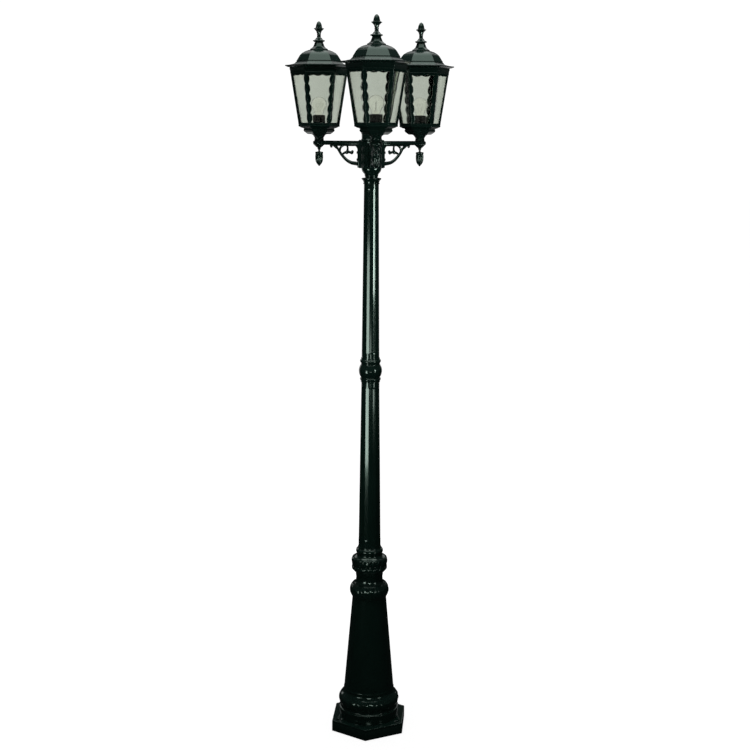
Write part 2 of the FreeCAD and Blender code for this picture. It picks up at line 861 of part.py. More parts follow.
def make_cage(side):
    """The six-sided tapered frame, cast in one piece round its six windows."""
    foot, head, wall = size("cage_foot"), size("cage_head"), size("cage_wall")
    body = new_body(f"cage_{side}")
    hexagon_loft(body, "AdditiveLoft", [("cage_foot_corner", foot), ("cage_head_corner", head)])
    hexagon_loft(body, "SubtractiveLoft", [(size("cage_foot_corner") - wall, foot),
                                           (size("cage_head_corner") - wall, head)])
    sketch = new_sketch(body, "YZ_Plane")
    draw_outline(sketch, window_outline())
    window = add_feature(body, "Pocket", sketch, Length=size(200), Reversed=True)
    axis = new_sketch(body, "XY_Plane")
    repeat_around(body, [window], axis, 6)
    place_on_arm(body, side)


def make_glass_panes(side):
    """Six flat panes that lean against the inside of the cage."""
    rise = size("cage_head") - "cage_foot"
    spread = size("cage_head_corner") - "cage_foot_corner"
    slope = spread.value / rise.value
    body = new_body(f"glass_panes_{side}")
    sketches = []
    for level in ("pane_foot", "pane_head"):
        corner = size("cage_foot_corner") - "cage_wall" + (size(level) - "cage_foot") * slope
        face = corner * math.cos(math.pi / 6) - "pane_gap"
        half = face * math.tan(math.pi / 6) - size("pane_thickness")
        sketch = new_sketch(body, "XY_Plane", level)
        draw_outline(sketch, [(face - "pane_thickness", -half), (face, -half),
                              (face, half), (face - "pane_thickness", half)])
        sketches.append(sketch)
    pane = add_feature(body, "AdditiveLoft", sketches[0], Sections=sketches[1:], Ruled=True)
    repeat_around(body, [pane], sketches[0], 6)
    place_on_arm(body, side)


def make_roof(side):
    """A hollow hexagonal dome with a thin brim and a small steep cap."""
    rest, top = size("cage_head") + 0.3, size("roof_head")
    brim, peak = size("brim_corner"), size("roof_head_corner")
    body = new_body(f"roof_{side}")
    hexagon_loft(body, "AdditiveLoft", [
        (brim - 12, rest),
        (brim, rest + 5),
        (brim, rest + 8),
        (brim - 20, rest + 10),
        (brim - 38, rest + 14),
        (brim - 45, rest + 21),
        (brim - 52, rest + 32),
        (brim - 61, rest + 47),
        (brim - 71, rest + 57.5),
        (brim - 84, rest + 65),
        (brim - 99, rest + 70),
        (brim - 106, rest + 72.5),
        (peak + 7, rest + 84),
        (peak, top),
    ])
    hexagon_loft(body, "SubtractiveLoft", [
        (brim - 17, rest),
        (brim - 30, rest + 5),
        (brim - 46, rest + 14),
        (brim - 53, rest + 24),
        (brim - 62, rest + 40),
        (brim - 77, rest + 54),
        (peak + 20, rest + 65),
    ])
    round_hole(body, 0, 0, size("finial_stud") + 0.1, rest + 70, 50)
    place_on_arm(body, side)


def make_finial(side):
    foot, tip, stud = size("roof_head"), size("finial_tip"), size("finial_stud")
    body = new_body(f"finial_{side}")
    revolve(body, [
        (0, foot - 24),
        (stud, foot - 24),
        (stud, foot),
        (17, foot),
        (25.5, foot + 5, -0.1),
        (24.5, foot + 7.5, 0.3),
        (15, foot + 13, -0.15),
        (9, foot + 20, -0.1),
        (7.2, foot + 31),
        (8.8, foot + 39),
        (13, foot + 47),
        (21, foot + 55, -0.15),
        (13, foot + 60, 0.1),
        (12, foot + 66, 0.15),
        (9, tip - 9, 0.2),
        (0, tip, dome(9, 9)),
    ])
    place_on_arm(body, side)


def make_lampholder(side):
    floor, head, radius = size("dish_floor"), size("holder_head"), size("holder_radius")
    entry = size("nipple_radius") + 0.1
    body = new_body(f"lampholder_{side}")
    revolve(body, [
        (entry, floor),
        (radius + 2, floor),
        (radius + 2, floor + 6),
        (radius - 3, floor + 12),
        (radius - 3, floor + 44),
        (radius, floor + 48),
        (radius, head - 3),
        (radius - 3, head, 0.3),
        (size("holder_bore") + 2.6, head),
        ("holder_bore", head - 7),
        ("holder_bore", size("bulb_cap_foot") - 3),
        (9, size("bulb_cap_foot") - 3),
        (9, floor + 10),
        (entry, floor + 10),
    ])
    place_on_arm(body, side)


def make_bulb(side):
    """The contact plug, the metal screw cap round it and the glass cemented into the cap."""
    foot, head, radius = size("bulb_cap_foot"), size("bulb_cap_head"), size("bulb_cap_radius")
    plug = size("contact_radius")
    body = new_body(f"bulb_contact_{side}")
    revolve(body, [
        (0, foot),
        (4.5, foot + 1, dome(4.5, 1)),
        (plug, foot + 3.5),
        (plug, foot + 7),
        (0, foot + 7),
    ])
    place_on_arm(body, side)

    body = new_body(f"bulb_cap_{side}")
    revolve(body, [
        (plug + 0.3, foot + 4),
        (radius, foot + 7),
        (radius, head),
        (radius - 0.8, head),
        (radius - 0.8, foot + 8),
        (plug + 0.3, foot + 5.5),
    ])
    place_on_arm(body, side)

    middle, ball = size("bulb_middle"), size("bulb_radius")
    crown, skin = middle + ball, 1
    quarter = math.tan(math.pi / 8)
    body = new_body(f"bulb_glass_{side}")
    revolve(body, [
        (radius, head + 0.2),
        (radius + 1.5, head + 8, -0.05),
        (ball - 2, middle - 12, -0.1),
        (ball, middle, 0.11),
        (0, crown, quarter),
        (0, crown - skin),
        (ball - skin, middle, -quarter),
        (ball - 2 - skin, middle - 12, -0.11),
        (radius + 1.5 - skin, head + 8, 0.1),
        (radius - skin, head + 0.2, 0.05),
    ])
    place_on_arm(body, side)


def make_lead(side):
    """The lead from the hub along the arm's bore and up the nipple."""
    level, bend = size("lead_level"), size(9)
    start = size(20) - "arm_reach"
    path = [(start, level), (-bend, level), (0, level + bend, math.tan(math.pi / 8)),
            (0, size("nipple_head") + 24)]
    rod = swept_rod(f"lead_{side}", path, "lead_radius")
    place_on_arm(rod, side)
    sub_parts.append(rod)


# ---------------------------------------------------------------- assembly, checks and files

def check_document():
    """Stops if an object has failed, a shape is not sound or a piece is missing solids."""
    doc.recompute()
    for item in doc.Objects:
        if "Invalid" in item.State or "Error" in item.State:
            raise RuntimeError(f"{item.Label} failed: {item.State}")
    for piece in sub_parts:
        shape = piece.Shape
        if shape.isNull() or not shape.isValid() or not shape.Solids:
            raise RuntimeError(f"{piece.Label} has no sound solid")
        box = shape.BoundBox
        print(f"{piece.Label}: {len(shape.Solids)} solids, {shape.Volume / 1000:.1f} cm3,"
              f" z {box.ZMin:.1f} to {box.ZMax:.1f}")


def main():
    make_foot_plate()
    make_base_column()
    make_base_collar()
    make_tube("lower_tube", "lower_seat", "lower_taper_foot", "lower_taper_head", "lower_top",
              "lower_foot_radius", "lower_head_radius")
    make_mid_joint()
    make_tube("upper_tube", "upper_seat", "upper_taper_foot", "upper_taper_head", "upper_top",
              "upper_foot_radius", "upper_head_radius")
    make_capital_ring()
    make_hub()
    make_hub_cap()
    make_wiring()
    make_set_screws()
    for side in ARMS:
        for make_piece in (make_arm, make_scroll, make_pendant, make_nipple, make_dish,
                           make_cage, make_glass_panes, make_roof, make_finial,
                           make_lampholder, make_bulb, make_lead):
            make_piece(side)
    check_document()
    os.makedirs("parts", exist_ok=True)
    for piece in sub_parts:
        piece.Shape.exportStep(f"parts/{piece.Label}.step")


main()
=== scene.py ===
"""Looks of a three-lantern street lamp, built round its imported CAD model.

Lengths here are millimetres until a mesh is made, which is in metres. Pieces of the post are
drawn about the post's axis. Pieces of an arm and its lantern are drawn about that lantern's
axis, with +X away from the post, and then placed at the end of the arm.
"""

import math

import bmesh
import bpy
from mathutils import Matrix, Vector


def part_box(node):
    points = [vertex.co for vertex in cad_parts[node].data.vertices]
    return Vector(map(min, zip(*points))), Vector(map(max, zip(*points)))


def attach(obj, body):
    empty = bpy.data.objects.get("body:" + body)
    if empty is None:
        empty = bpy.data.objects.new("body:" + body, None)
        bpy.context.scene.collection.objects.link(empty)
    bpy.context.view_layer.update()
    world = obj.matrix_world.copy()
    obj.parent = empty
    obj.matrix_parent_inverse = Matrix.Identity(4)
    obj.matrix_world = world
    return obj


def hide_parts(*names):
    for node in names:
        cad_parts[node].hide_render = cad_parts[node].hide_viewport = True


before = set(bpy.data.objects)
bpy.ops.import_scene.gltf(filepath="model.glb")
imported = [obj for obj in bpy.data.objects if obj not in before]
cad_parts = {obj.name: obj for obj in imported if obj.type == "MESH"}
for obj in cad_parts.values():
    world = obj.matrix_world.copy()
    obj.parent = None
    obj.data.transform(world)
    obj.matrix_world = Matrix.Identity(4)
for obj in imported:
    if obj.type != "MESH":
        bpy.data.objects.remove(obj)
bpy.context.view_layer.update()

MM = 0.001
ARMS = {"front": -90, "right": 30, "left": 150}
scene = bpy.context.scene


# ---------------------------------------------------------------- measures taken from the frame

def levels(node):
    """The lowest and highest level of a CAD node."""
    low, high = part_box(node)
    return low.z / MM, high.z / MM


def widest(node):
    """The largest radius of a round CAD node."""
    low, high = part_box(node)
    return (high.x - low.x) / 2 / MM


REACH = -(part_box("finial_front")[0].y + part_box("finial_front")[1].y) / 2 / MM
COLUMN_FOOT, COLUMN_HEAD = levels("base_column")
COLLAR_HEAD = levels("base_collar")[1]
JOINT_FOOT, JOINT_HEAD = levels("mid_joint")
LOWER_SEAT, LOWER_TOP = levels("lower_tube")
UPPER_SEAT, UPPER_TOP = levels("upper_tube")
CAPITAL_FOOT, HUB_FOOT = levels("capital_ring")
HUB_HEAD = levels("hub")[1]
CAGE_FOOT, CAGE_HEAD = levels("cage_front")
DISH_FOOT = levels("dish_front")[0]
ROOF_HEAD = levels("roof_front")[1]
LOWER_RADIUS, UPPER_RADIUS = widest("lower_tube"), widest("upper_tube")
CAGE_HEAD_CORNER = widest("cage_front")
CAGE_FOOT_CORNER = CAGE_HEAD_CORNER - 37.7
LOWER_HEAD_RADIUS, UPPER_HEAD_RADIUS = 38.7, 31.2
LOWER_TAPER, UPPER_TAPER = (850, 1556), (1672, 2392)
LUG_FACE, STEM_FACE, CORNER_FILLET = 54, 62, 22
HALF_HEXAGON = math.cos(math.pi / 6)


# ---------------------------------------------------------------- materials

class Nodes:
    """Adds shader nodes and links to one node tree."""

    def __init__(self, tree):
        self.tree = tree

    def add(self, kind, **values):
        node = self.tree.nodes.new(kind)
        for name, value in values.items():
            if name in node.inputs:
                node.inputs[name].default_value = value
            else:
                setattr(node, name, value)
        return node

    def link(self, source, target):
        self.tree.links.new(source, target)


def new_material(name, **sockets):
    """A Principled material with its constants on the shader's own sockets."""
    material = bpy.data.materials.new(name)
    material.use_nodes = True
    nodes = Nodes(material.node_tree)
    shader = material.node_tree.nodes["Principled BSDF"]
    for socket, value in sockets.items():
        shader.inputs[socket.replace("_", " ")].default_value = value
    return material, nodes, shader


def noise(nodes, scale, detail, stretch=(1, 1, 1)):
    """Noise in the object's own space, stretched along its axes."""
    place = nodes.add("ShaderNodeTexCoord")
    mapping = nodes.add("ShaderNodeMapping", Scale=stretch)
    nodes.link(place.outputs["Object"], mapping.inputs["Vector"])
    texture = nodes.add("ShaderNodeTexNoise", Scale=scale, Detail=detail)
    nodes.link(mapping.outputs["Vector"], texture.inputs["Vector"])
    return texture.outputs["Fac"]


def ramp(nodes, source, low, high):
    """A colour ramp between two colours."""
    node = nodes.add("ShaderNodeValToRGB")
    for element, position, colour in zip(node.color_ramp.elements, (0.3, 0.7), (low, high)):
        element.position = position
        element.color = (*colour, 1)
    nodes.link(source, node.inputs["Fac"])
    return node.outputs["Color"]


def spread(nodes, source, low, high):
    """A 0 to 1 value turned into a range."""
    node = nodes.add("ShaderNodeMapRange", **{"To Min": low, "To Max": high})
    nodes.link(source, node.inputs["Value"])
    return node.outputs["Result"]


def bump(nodes, shader, layers):
    """Stacks bumps, each (height source, strength, distance in metres)."""
    normal = None
    for source, strength, distance in layers:
        node = nodes.add("ShaderNodeBump", Strength=strength, Distance=distance)
        nodes.link(source, node.inputs["Height"])
        if normal:
            nodes.link(normal, node.inputs["Normal"])
        normal = node.outputs["Normal"]
    nodes.link(normal, shader.inputs["Normal"])


def paint_material():
    """Gloss enamel over cast metal: nearly black green, faint orange peel, paler worn edges."""
    material, nodes, shader = new_material(
        "dark_green_enamel", IOR=1.5, Specular_Tint=(0.72, 1, 0.85, 1), Coat_Weight=0.2,
        Coat_Roughness=0.06, Coat_IOR=1.5)
    mottle = noise(nodes, 14, 5)
    body = ramp(nodes, mottle, (0.0035, 0.0125, 0.0095), (0.0050, 0.0165, 0.0125))
    geometry = nodes.add("ShaderNodeNewGeometry")
    edge = nodes.add("ShaderNodeMapRange", **{"From Min": 0.505, "From Max": 0.56})
    nodes.link(geometry.outputs["Pointiness"], edge.inputs["Value"])
    wear = nodes.add("ShaderNodeMath", operation="MULTIPLY")
    nodes.link(edge.outputs["Result"], wear.inputs[0])
    nodes.link(noise(nodes, 55, 6), wear.inputs[1])
    blend = nodes.add("ShaderNodeMix", data_type="RGBA")
    nodes.link(wear.outputs["Value"], blend.inputs["Factor"])
    nodes.link(body, blend.inputs["A"])
    blend.inputs["B"].default_value = (0.008, 0.020, 0.016, 1)
    nodes.link(blend.outputs["Result"], shader.inputs["Base Color"])
    nodes.link(spread(nodes, noise(nodes, 9, 4), 0.10, 0.17), shader.inputs["Roughness"])
    bump(nodes, shader, [(noise(nodes, 14, 2), 0.02, 0.001), (noise(nodes, 300, 2), 0.01, 0.0002)])
    return material


def lantern_glass_material():
    """Grey, faintly rippled sheet glass."""
    material, nodes, shader = new_material(
        "rippled_grey_glass", Transmission_Weight=1.0, IOR=1.12)
    tint = ramp(nodes, noise(nodes, 7, 3), (0.60, 0.63, 0.58), (0.65, 0.68, 0.63))
    nodes.link(tint, shader.inputs["Base Color"])
    nodes.link(spread(nodes, noise(nodes, 30, 3), 0.03, 0.09), shader.inputs["Roughness"])
    bump(nodes, shader, [(noise(nodes, 60, 2, (1, 1, 0.5)), 0.25, 0.0012)])
    return material


def bulb_glass_painted_glow_material():
    """Thin frosted glass with a faint painted glow, a small white emission, though the bulb is not
    lit.
    """
    # Emission_Strength is a painted glow: it makes the unlit bulb show as a lighter spot.
    material, nodes, shader = new_material(
        "bulb_glass_with_painted_glow", Transmission_Weight=1.0, IOR=1.1, Roughness=0.25,
        Emission_Color=(1, 0.98, 0.92, 1), Emission_Strength=0.03)
    tint = ramp(nodes, noise(nodes, 30, 3), (0.93, 0.93, 0.90), (0.97, 0.97, 0.95))
    nodes.link(tint, shader.inputs["Base Color"])
    return material


def moulded_material(name, low, high, roughness):
    """A moulded or drawn surface with fine grain and slight mottling."""
    material, nodes, shader = new_material(name)
    nodes.link(ramp(nodes, noise(nodes, 20, 5), low, high), shader.inputs["Base Color"])
    nodes.link(spread(nodes, noise(nodes, 40, 5), roughness - 0.06, roughness + 0.08),
               shader.inputs["Roughness"])
    bump(nodes, shader, [(noise(nodes, 900, 2), 0.08, 0.0002)])
    return material


def metal_material(name, low, high, roughness):
    """Bare metal with fine turning marks."""
    stretch = (1, 1, 12)
    material, nodes, shader = new_material(name, Metallic=1.0)
    nodes.link(ramp(nodes, noise(nodes, 60, 6), low, high), shader.inputs["Base Color"])
    nodes.link(spread(nodes, noise(nodes, 90, 5, stretch), roughness - 0.08, roughness + 0.1),
               shader.inputs["Roughness"])
    bump(nodes, shader, [(noise(nodes, 300, 3, stretch), 0.1, 0.0003)])
    return material


PAINT = paint_material()
LANTERN_GLASS = lantern_glass_material()
BULB_GLASS = bulb_glass_painted_glow_material()
BLACK_PLASTIC = moulded_material(
    "black_phenolic", (0.007, 0.007, 0.0075), (0.014, 0.014, 0.015), 0.3)
WHITE_PLASTIC = moulded_material("white_plastic", (0.62, 0.61, 0.57), (0.7, 0.69, 0.65), 0.5)
SHEATH = moulded_material("cable_sheath", (0.014, 0.014, 0.014), (0.026, 0.026, 0.026), 0.6)
BRASS = metal_material("brass", (0.6, 0.42, 0.17), (0.75, 0.56, 0.27), 0.3)
CAP_METAL = metal_material("nickelled_brass", (0.62, 0.61, 0.57), (0.78, 0.77, 0.74), 0.25)
ZINC = metal_material("zinc_plate", (0.12, 0.125, 0.125), (0.2, 0.205, 0.205), 0.45)


# ---------------------------------------------------------------- mesh helpers

def arc(start, finish, bulge):
    """Points after start up to finish, on an arc that bulges to the right of its direction."""
    if not bulge:
        return [finish]
    a, b = Vector(start), Vector(finish)
    run = b - a
    right = Vector((run.y, -run.x)) / run.length
    radius = run.length / 2 * (1 + bulge ** 2) / (2 * bulge)
    centre = (a + b) / 2 + right * (bulge * run.length / 2 - radius)
    turn = 4 * math.atan(bulge)
    steps = max(3, math.ceil(abs(math.degrees(turn)) / 11))
    arm = a - centre
    points = [centre + Matrix.Rotation(turn * step / steps, 2) @ arm
              for step in range(1, steps)]
    return [tuple(point) for point in points] + [finish]


def trace(points):
    """Expands (x, y, bulge) points into a plain list of points."""
    line = [points[0][:2]]
    for point in points[1:]:
        line += arc(line[-1], point[:2], point[2] if len(point) > 2 else 0)
    return line


def lathe(outline, steps, phase=0.0, ripple=None):
    """Turns a closed outline of (radius, level) points about Z. ripple gives a change of radius."""
    grid = bmesh.new()
    rings = []
    for radius, level in outline:
        ring = []
        for step in range(steps):
            angle = 2 * math.pi * step / steps + math.radians(phase)
            reach = radius + (ripple(angle, radius, level) if ripple and radius > 0 else 0)
            ring.append(grid.verts.new((reach * math.cos(angle) * MM,
                                        reach * math.sin(angle) * MM, level * MM)))
        rings.append(ring)
    for ring, above in zip(rings, rings[1:] + rings[:1]):
        for step in range(steps):
            following = (step + 1) % steps
            grid.faces.new((ring[step], ring[following], above[following], above[step]))
    return tidy_mesh(grid)


def tidy_mesh(grid):
    """Merges the points on the axis, drops empty faces and points every face outwards."""
    bmesh.ops.remove_doubles(grid, verts=grid.verts, dist=1e-6)
    empty = [face for face in grid.faces if face.calc_area() < 1e-12]
    bmesh.ops.delete(grid, geom=empty, context="FACES")
    bmesh.ops.recalc_face_normals(grid, faces=grid.faces)
    mesh = bpy.data.meshes.new("mesh")
    grid.to_mesh(mesh)
    grid.free()
    return mesh


def joined(parts):
    """One mesh from several, each given alone or with the matrix that places it."""
    grid = bmesh.new()
    for part in parts:
        mesh, matrix = part if isinstance(part, tuple) else (part, Matrix.Identity(4))
        copy = mesh.copy()
        copy.transform(matrix)
        grid.from_mesh(copy)
    whole = bpy.data.meshes.new("joined")
    grid.to_mesh(whole)
    grid.free()
    return whole


def around(mesh, count, matrix=Matrix.Identity(4)):
    """The same mesh repeated evenly about Z."""
    return joined([(mesh, Matrix.Rotation(2 * math.pi * index / count, 4, "Z") @ matrix)
                   for index in range(count)])


def softened(mesh, width, segments=2, angle=32):
    """Rounds every sharp edge and shades the rest smooth."""
    holder = bpy.data.objects.new("holder", mesh)
    scene.collection.objects.link(holder)
    rounding = holder.modifiers.new("rounding", "BEVEL")
    rounding.width = width * MM
    rounding.segments = segments
    rounding.limit_method = "ANGLE"
    rounding.angle_limit = math.radians(angle)
    weighting = holder.modifiers.new("weighting", "WEIGHTED_NORMAL")
    weighting.keep_sharp = True
    mesh.shade_smooth()
    graph = bpy.context.evaluated_depsgraph_get()
    result = bpy.data.meshes.new_from_object(holder.evaluated_get(graph), depsgraph=graph)
    bpy.data.objects.remove(holder)
    return result


def plate(outlines, thickness, rounding):
    """A flat plate in the XY plane with rounded edges; every outline after the first is a hole."""
    curve = bpy.data.curves.new("plate", "CURVE")
    curve.dimensions = "2D"
    curve.fill_mode = "BOTH"
    curve.extrude = (thickness / 2 - rounding) * MM
    curve.bevel_depth = rounding * MM
    curve.bevel_resolution = 1
    curve.offset = -rounding * MM
    for outline in outlines:
        spline = curve.splines.new("POLY")
        spline.points.add(len(outline) - 1)
        for point, (x, y) in zip(spline.points, outline):
            point.co = (x * MM, y * MM, 0, 1)
        spline.use_cyclic_u = True
    return from_curve(curve)


def from_curve(curve):
    """The mesh of a curve, with its seams merged."""
    holder = bpy.data.objects.new("holder", curve)
    scene.collection.objects.link(holder)
    graph = bpy.context.evaluated_depsgraph_get()
    mesh = bpy.data.meshes.new_from_object(holder.evaluated_get(graph), depsgraph=graph)
    bpy.data.objects.remove(holder)
    grid = bmesh.new()
    grid.from_mesh(mesh)
    bmesh.ops.remove_doubles(grid, verts=grid.verts, dist=2e-6)
    bmesh.ops.recalc_face_normals(grid, faces=grid.faces)
    grid.to_mesh(mesh)
    grid.free()
    mesh.shade_smooth()
    mesh.set_sharp_from_angle(angle=math.radians(40))
    return mesh


def stroke(points, radii, flat=1.0):
    """A smooth rod in the XZ plane through (x, z) points with its own radius at each one."""
    curve = bpy.data.curves.new("stroke", "CURVE")
    curve.dimensions = "3D"
    curve.bevel_depth = MM
    curve.bevel_resolution = 4
    curve.use_fill_caps = True
    curve.resolution_u = 10
    spline = curve.splines.new("BEZIER")
    spline.bezier_points.add(len(points) - 1)
    for knot, (x, z), radius in zip(spline.bezier_points, points, radii):
        knot.co = (x * MM, 0, z * MM)
        knot.radius = radius
        knot.handle_left_type = knot.handle_right_type = "AUTO"
    mesh = from_curve(curve)
    mesh.transform(Matrix.Diagonal((1, flat, 1, 1)))
    return mesh


def blob(x, z, radii):
    """A rounded lump in the XZ plane with its own radius along each axis."""
    grid = bmesh.new()
    bmesh.ops.create_icosphere(grid, subdivisions=3, radius=MM)
    for corner in grid.verts:
        corner.co = Vector(value * radius for value, radius in zip(corner.co, radii))
        corner.co += Vector((x, 0, z)) * MM
    mesh = bpy.data.meshes.new("blob")
    grid.to_mesh(mesh)
    grid.free()
    mesh.shade_smooth()
    return mesh


def add_piece(name, mesh, body, slot, material, *nodes, side=None):
    """Shows a mesh as a piece that rides on a body and stands for CAD nodes."""
    if side:
        angle = math.radians(ARMS[side])
        mesh = mesh.copy()
        mesh.transform(Matrix.Translation((REACH * MM * math.cos(angle),
                                           REACH * MM * math.sin(angle), 0))
                       @ Matrix.Rotation(angle, 4, "Z"))
    mesh.materials.clear()
    mesh.materials.append(material)
    piece = bpy.data.objects.new(name, mesh)
    scene.collection.objects.link(piece)
    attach(piece, body)
    if nodes:
        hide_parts(*nodes)
    return piece


def add_casting(name, mesh, node, side=None, body="post"):
    """Shows a painted casting in place of one CAD node."""
    return add_piece(name, mesh, body, "paint", PAINT, node, side=side)


def lobes(count, depth, low, high, sharpness=1.0, twist=0.0):
    """A ripple of rounded lobes that fades out at two levels; a twist of 1 slants by a lobe."""
    def ripple(angle, radius, level):
        fade = min(1.0, max(0.0, (level - low) / (0.25 * (high - low))),
                   max(0.0, (high - level) / (0.25 * (high - low))))
        slant = twist * math.pi * (level - low) / (high - low)
        wave = abs(math.cos(count * angle / 2 + slant)) ** sharpness
        return depth * fade * (wave - 0.5)
    return ripple


def hexagon(corner, turn):
    """Corners of a hexagon, the first one at the angle turn."""
    return [(corner * math.cos(math.radians(turn + 60 * index)),
             corner * math.sin(math.radians(turn + 60 * index))) for index in range(6)]


def circle(radius, x=0.0, y=0.0, steps=48):
    return [(x + radius * math.cos(2 * math.pi * step / steps),
             y + radius * math.sin(2 * math.pi * step / steps)) for step in range(steps)]


def lift(level):
    return Matrix.Translation((0, 0, level * MM))


# ---------------------------------------------------------------- foot, column and collar

FOOT_TURN = -8.5


def make_foot():
    """A hexagonal casting: a deep rim, a top plate with the cable hole and three bolt bosses."""
    corner, height, wall, roof = 179, levels("foot_plate")[1], 14, 12
    bolt_circle, bolt_hole, boss, cable_hole = 152, 7, 17, 60
    bolts = hexagon(bolt_circle, -30 + FOOT_TURN)[::2]
    outside = hexagon(corner, -90 + FOOT_TURN)
    rim = plate([outside, hexagon(corner - wall, -90 + FOOT_TURN)], height - 6, 0.8)
    holes = [circle(bolt_hole, *bolt, steps=24) for bolt in bolts]
    top = plate([outside, circle(cable_hole), *holes], roof, 3.2)
    bosses = [(plate([circle(boss, *bolt), hole], height - roof, 0.5),
               lift((height - roof) / 2)) for bolt, hole in zip(bolts, holes)]
    mesh = joined([(rim, lift((height - 6) / 2)), (top, lift(height - roof / 2)), *bosses])
    add_casting("foot_casting", mesh, "foot_plate")


def make_column():
    """The cone with its skirt, its low bead and its head bead."""
    foot, head, skirt = COLUMN_FOOT, COLUMN_HEAD, widest("base_column") - 3
    bead, cone_foot, cone_head = skirt - 5, 109, 74
    outline = trace([
        (skirt - 12, foot), (skirt, foot), (skirt + 3, foot + 38, 0.02),
        (skirt + 0.5, foot + 43, 0.45), (bead + 1, foot + 47, -0.3), (bead, foot + 50),
        (bead, foot + 57), (bead, foot + 102, 0.36), (bead - 3, foot + 105),
        (cone_foot + 2, foot + 131, -0.28), (cone_foot, foot + 138, -0.05),
        (cone_head, foot + 551), (cone_head + 0.4, foot + 554, -0.2),
        (cone_head + 0.6, head - 1, 0.335), (64, head), (58, head), (cone_head - 8, foot + 551),
        (cone_foot - 8, foot + 134), (bead - 12, foot + 102),
    ])
    low_bead = lobes(24, 2.4, foot + 60, foot + 101, twist=0.8)
    head_bead = lobes(20, 3.0, foot + 556, head - 4, twist=0.8)

    def beads(angle, radius, level):
        if radius > bead:
            return low_bead(angle, radius, level)
        return head_bead(angle, radius, level) if radius > cone_head + 0.7 else 0.0

    add_casting("column_casting", softened(lathe(outline, 240, ripple=beads), 0.7), "base_column")


def make_collar():
    """The neck, the drum and the small ring that hold the lower tube."""
    foot, head, drum = COLUMN_HEAD, COLLAR_HEAD, widest("base_collar")
    neck, bore = 59.3, LOWER_RADIUS + 0.2
    outline = trace([
        (neck + 5.5, foot), (neck, foot + 39, -0.2), (neck + 0.3, foot + 46),
        (neck + 1.8, foot + 51, -0.1), (drum - 3, foot + 65, 0.1), (drum, foot + 68, 0.3),
        (drum - 0.6, foot + 79, 0.12), (drum - 1.6, foot + 82, -0.4), (drum - 1.6, foot + 90),
        (drum - 0.4, foot + 93, -0.4), (drum, foot + 110, 0.12), (drum - 3, foot + 119, 0.3),
        (neck + 4, foot + 123, -0.2), (neck - 3, foot + 133, -0.3), (neck - 3.4, foot + 139),
        (neck - 4, foot + 158, 0.38), (bore + 3, foot + 161, -0.3), (bore + 2.2, head, -0.1),
        (bore, head), (bore, LOWER_SEAT), (bore - 6, LOWER_SEAT), (bore - 6, foot),
    ])
    ripple = lobes(20, 3.2, foot + 70, foot + 120, twist=-0.8)

    def drum_only(angle, radius, level):
        return ripple(angle, radius, level) if radius > drum - 4 else 0.0

    add_casting("collar_casting", softened(lathe(outline, 240, ripple=drum_only), 0.6),
                "base_collar")


# ---------------------------------------------------------------- fluted tubes and joints

FLUTES = 16
FLUTE_DEPTH = 0.0135
FLUTE_SHARE = 0.47


def fluted(low, high):
    """Shallow round-ended flutes between two levels."""
    def ripple(angle, radius, level):
        width = 2 * math.pi * radius / FLUTES * FLUTE_SHARE
        offset = (angle * FLUTES / (2 * math.pi) + 0.5) % 1 - 0.5
        across = offset * 2 * math.pi * radius / FLUTES
        beyond = max(0.0, low + width - level, level - high + width)
        away = math.hypot(across, beyond) / width
        return -FLUTE_DEPTH * radius * (1 - away ** 2) if away < 1 else 0.0
    return ripple


def make_tube(node, seat, taper, top, foot_radius, head_radius):
    """A tapered tube whose flutes stop short of its joints."""
    taper_foot, taper_head = taper

    def radius_at(level):
        part = min(1.0, max(0.0, (level - taper_foot) / (taper_head - taper_foot)))
        return foot_radius + (head_radius - foot_radius) * part

    low, high = taper_foot + 14, taper_head - 14
    marks = [seat, taper_foot - 1]
    marks += [low - 2 + step * 1.5 for step in range(13)]
    marks += [low + (high - low) * part / 8 for part in range(1, 8)]
    marks += [high + 2 - step * 1.5 for step in reversed(range(13))]
    marks += [taper_head + 1, top]
    outside = [(radius_at(level), level) for level in marks]
    inside = [(radius - 4, level) for radius, level in
              ((head_radius, top), (head_radius, taper_head), (foot_radius, taper_foot),
               (foot_radius, seat))]
    ripple = fluted(low, high)

    def outer_only(angle, radius, level):
        return ripple(angle, radius, level) if radius > radius_at(level) - 1 else 0.0

    mesh = lathe(outside + inside, FLUTES * 14, ripple=outer_only)
    mesh.shade_smooth()
    mesh.set_sharp_from_angle(angle=math.radians(24))
    add_casting(f"fluted_{node}", mesh, node)


def make_mid_joint():
    """A ring, a ball and a ring."""
    foot, head = JOINT_FOOT, JOINT_HEAD
    ring, ball = 41, widest("mid_joint") - 7.4
    low_bore, high_bore = LOWER_HEAD_RADIUS + 0.2, UPPER_RADIUS + 0.2
    outline = trace([
        (ring + 0.4, foot), (ring - 0.3, foot + 5, -0.15), (ring, foot + 6.5),
        (ring, foot + 19, 0.55), (ring + 0.6, foot + 20.5, -0.4), (ball - 0.5, foot + 22.5),
        (ball, foot + 73.5, 0.3), (ring - 0.3, foot + 80, -0.3), (ring, foot + 84),
        (ring, foot + 97, 0.58), (ring - 0.7, foot + 99.5, -0.2), (ring - 0.9, head),
        (high_bore, head), (high_bore, UPPER_SEAT), (high_bore - 8, UPPER_SEAT),
        (high_bore - 8, LOWER_TOP), (low_bore, LOWER_TOP), (low_bore, foot),
    ])
    add_casting("mid_joint_casting", softened(lathe(outline, 112), 0.5), "mid_joint")


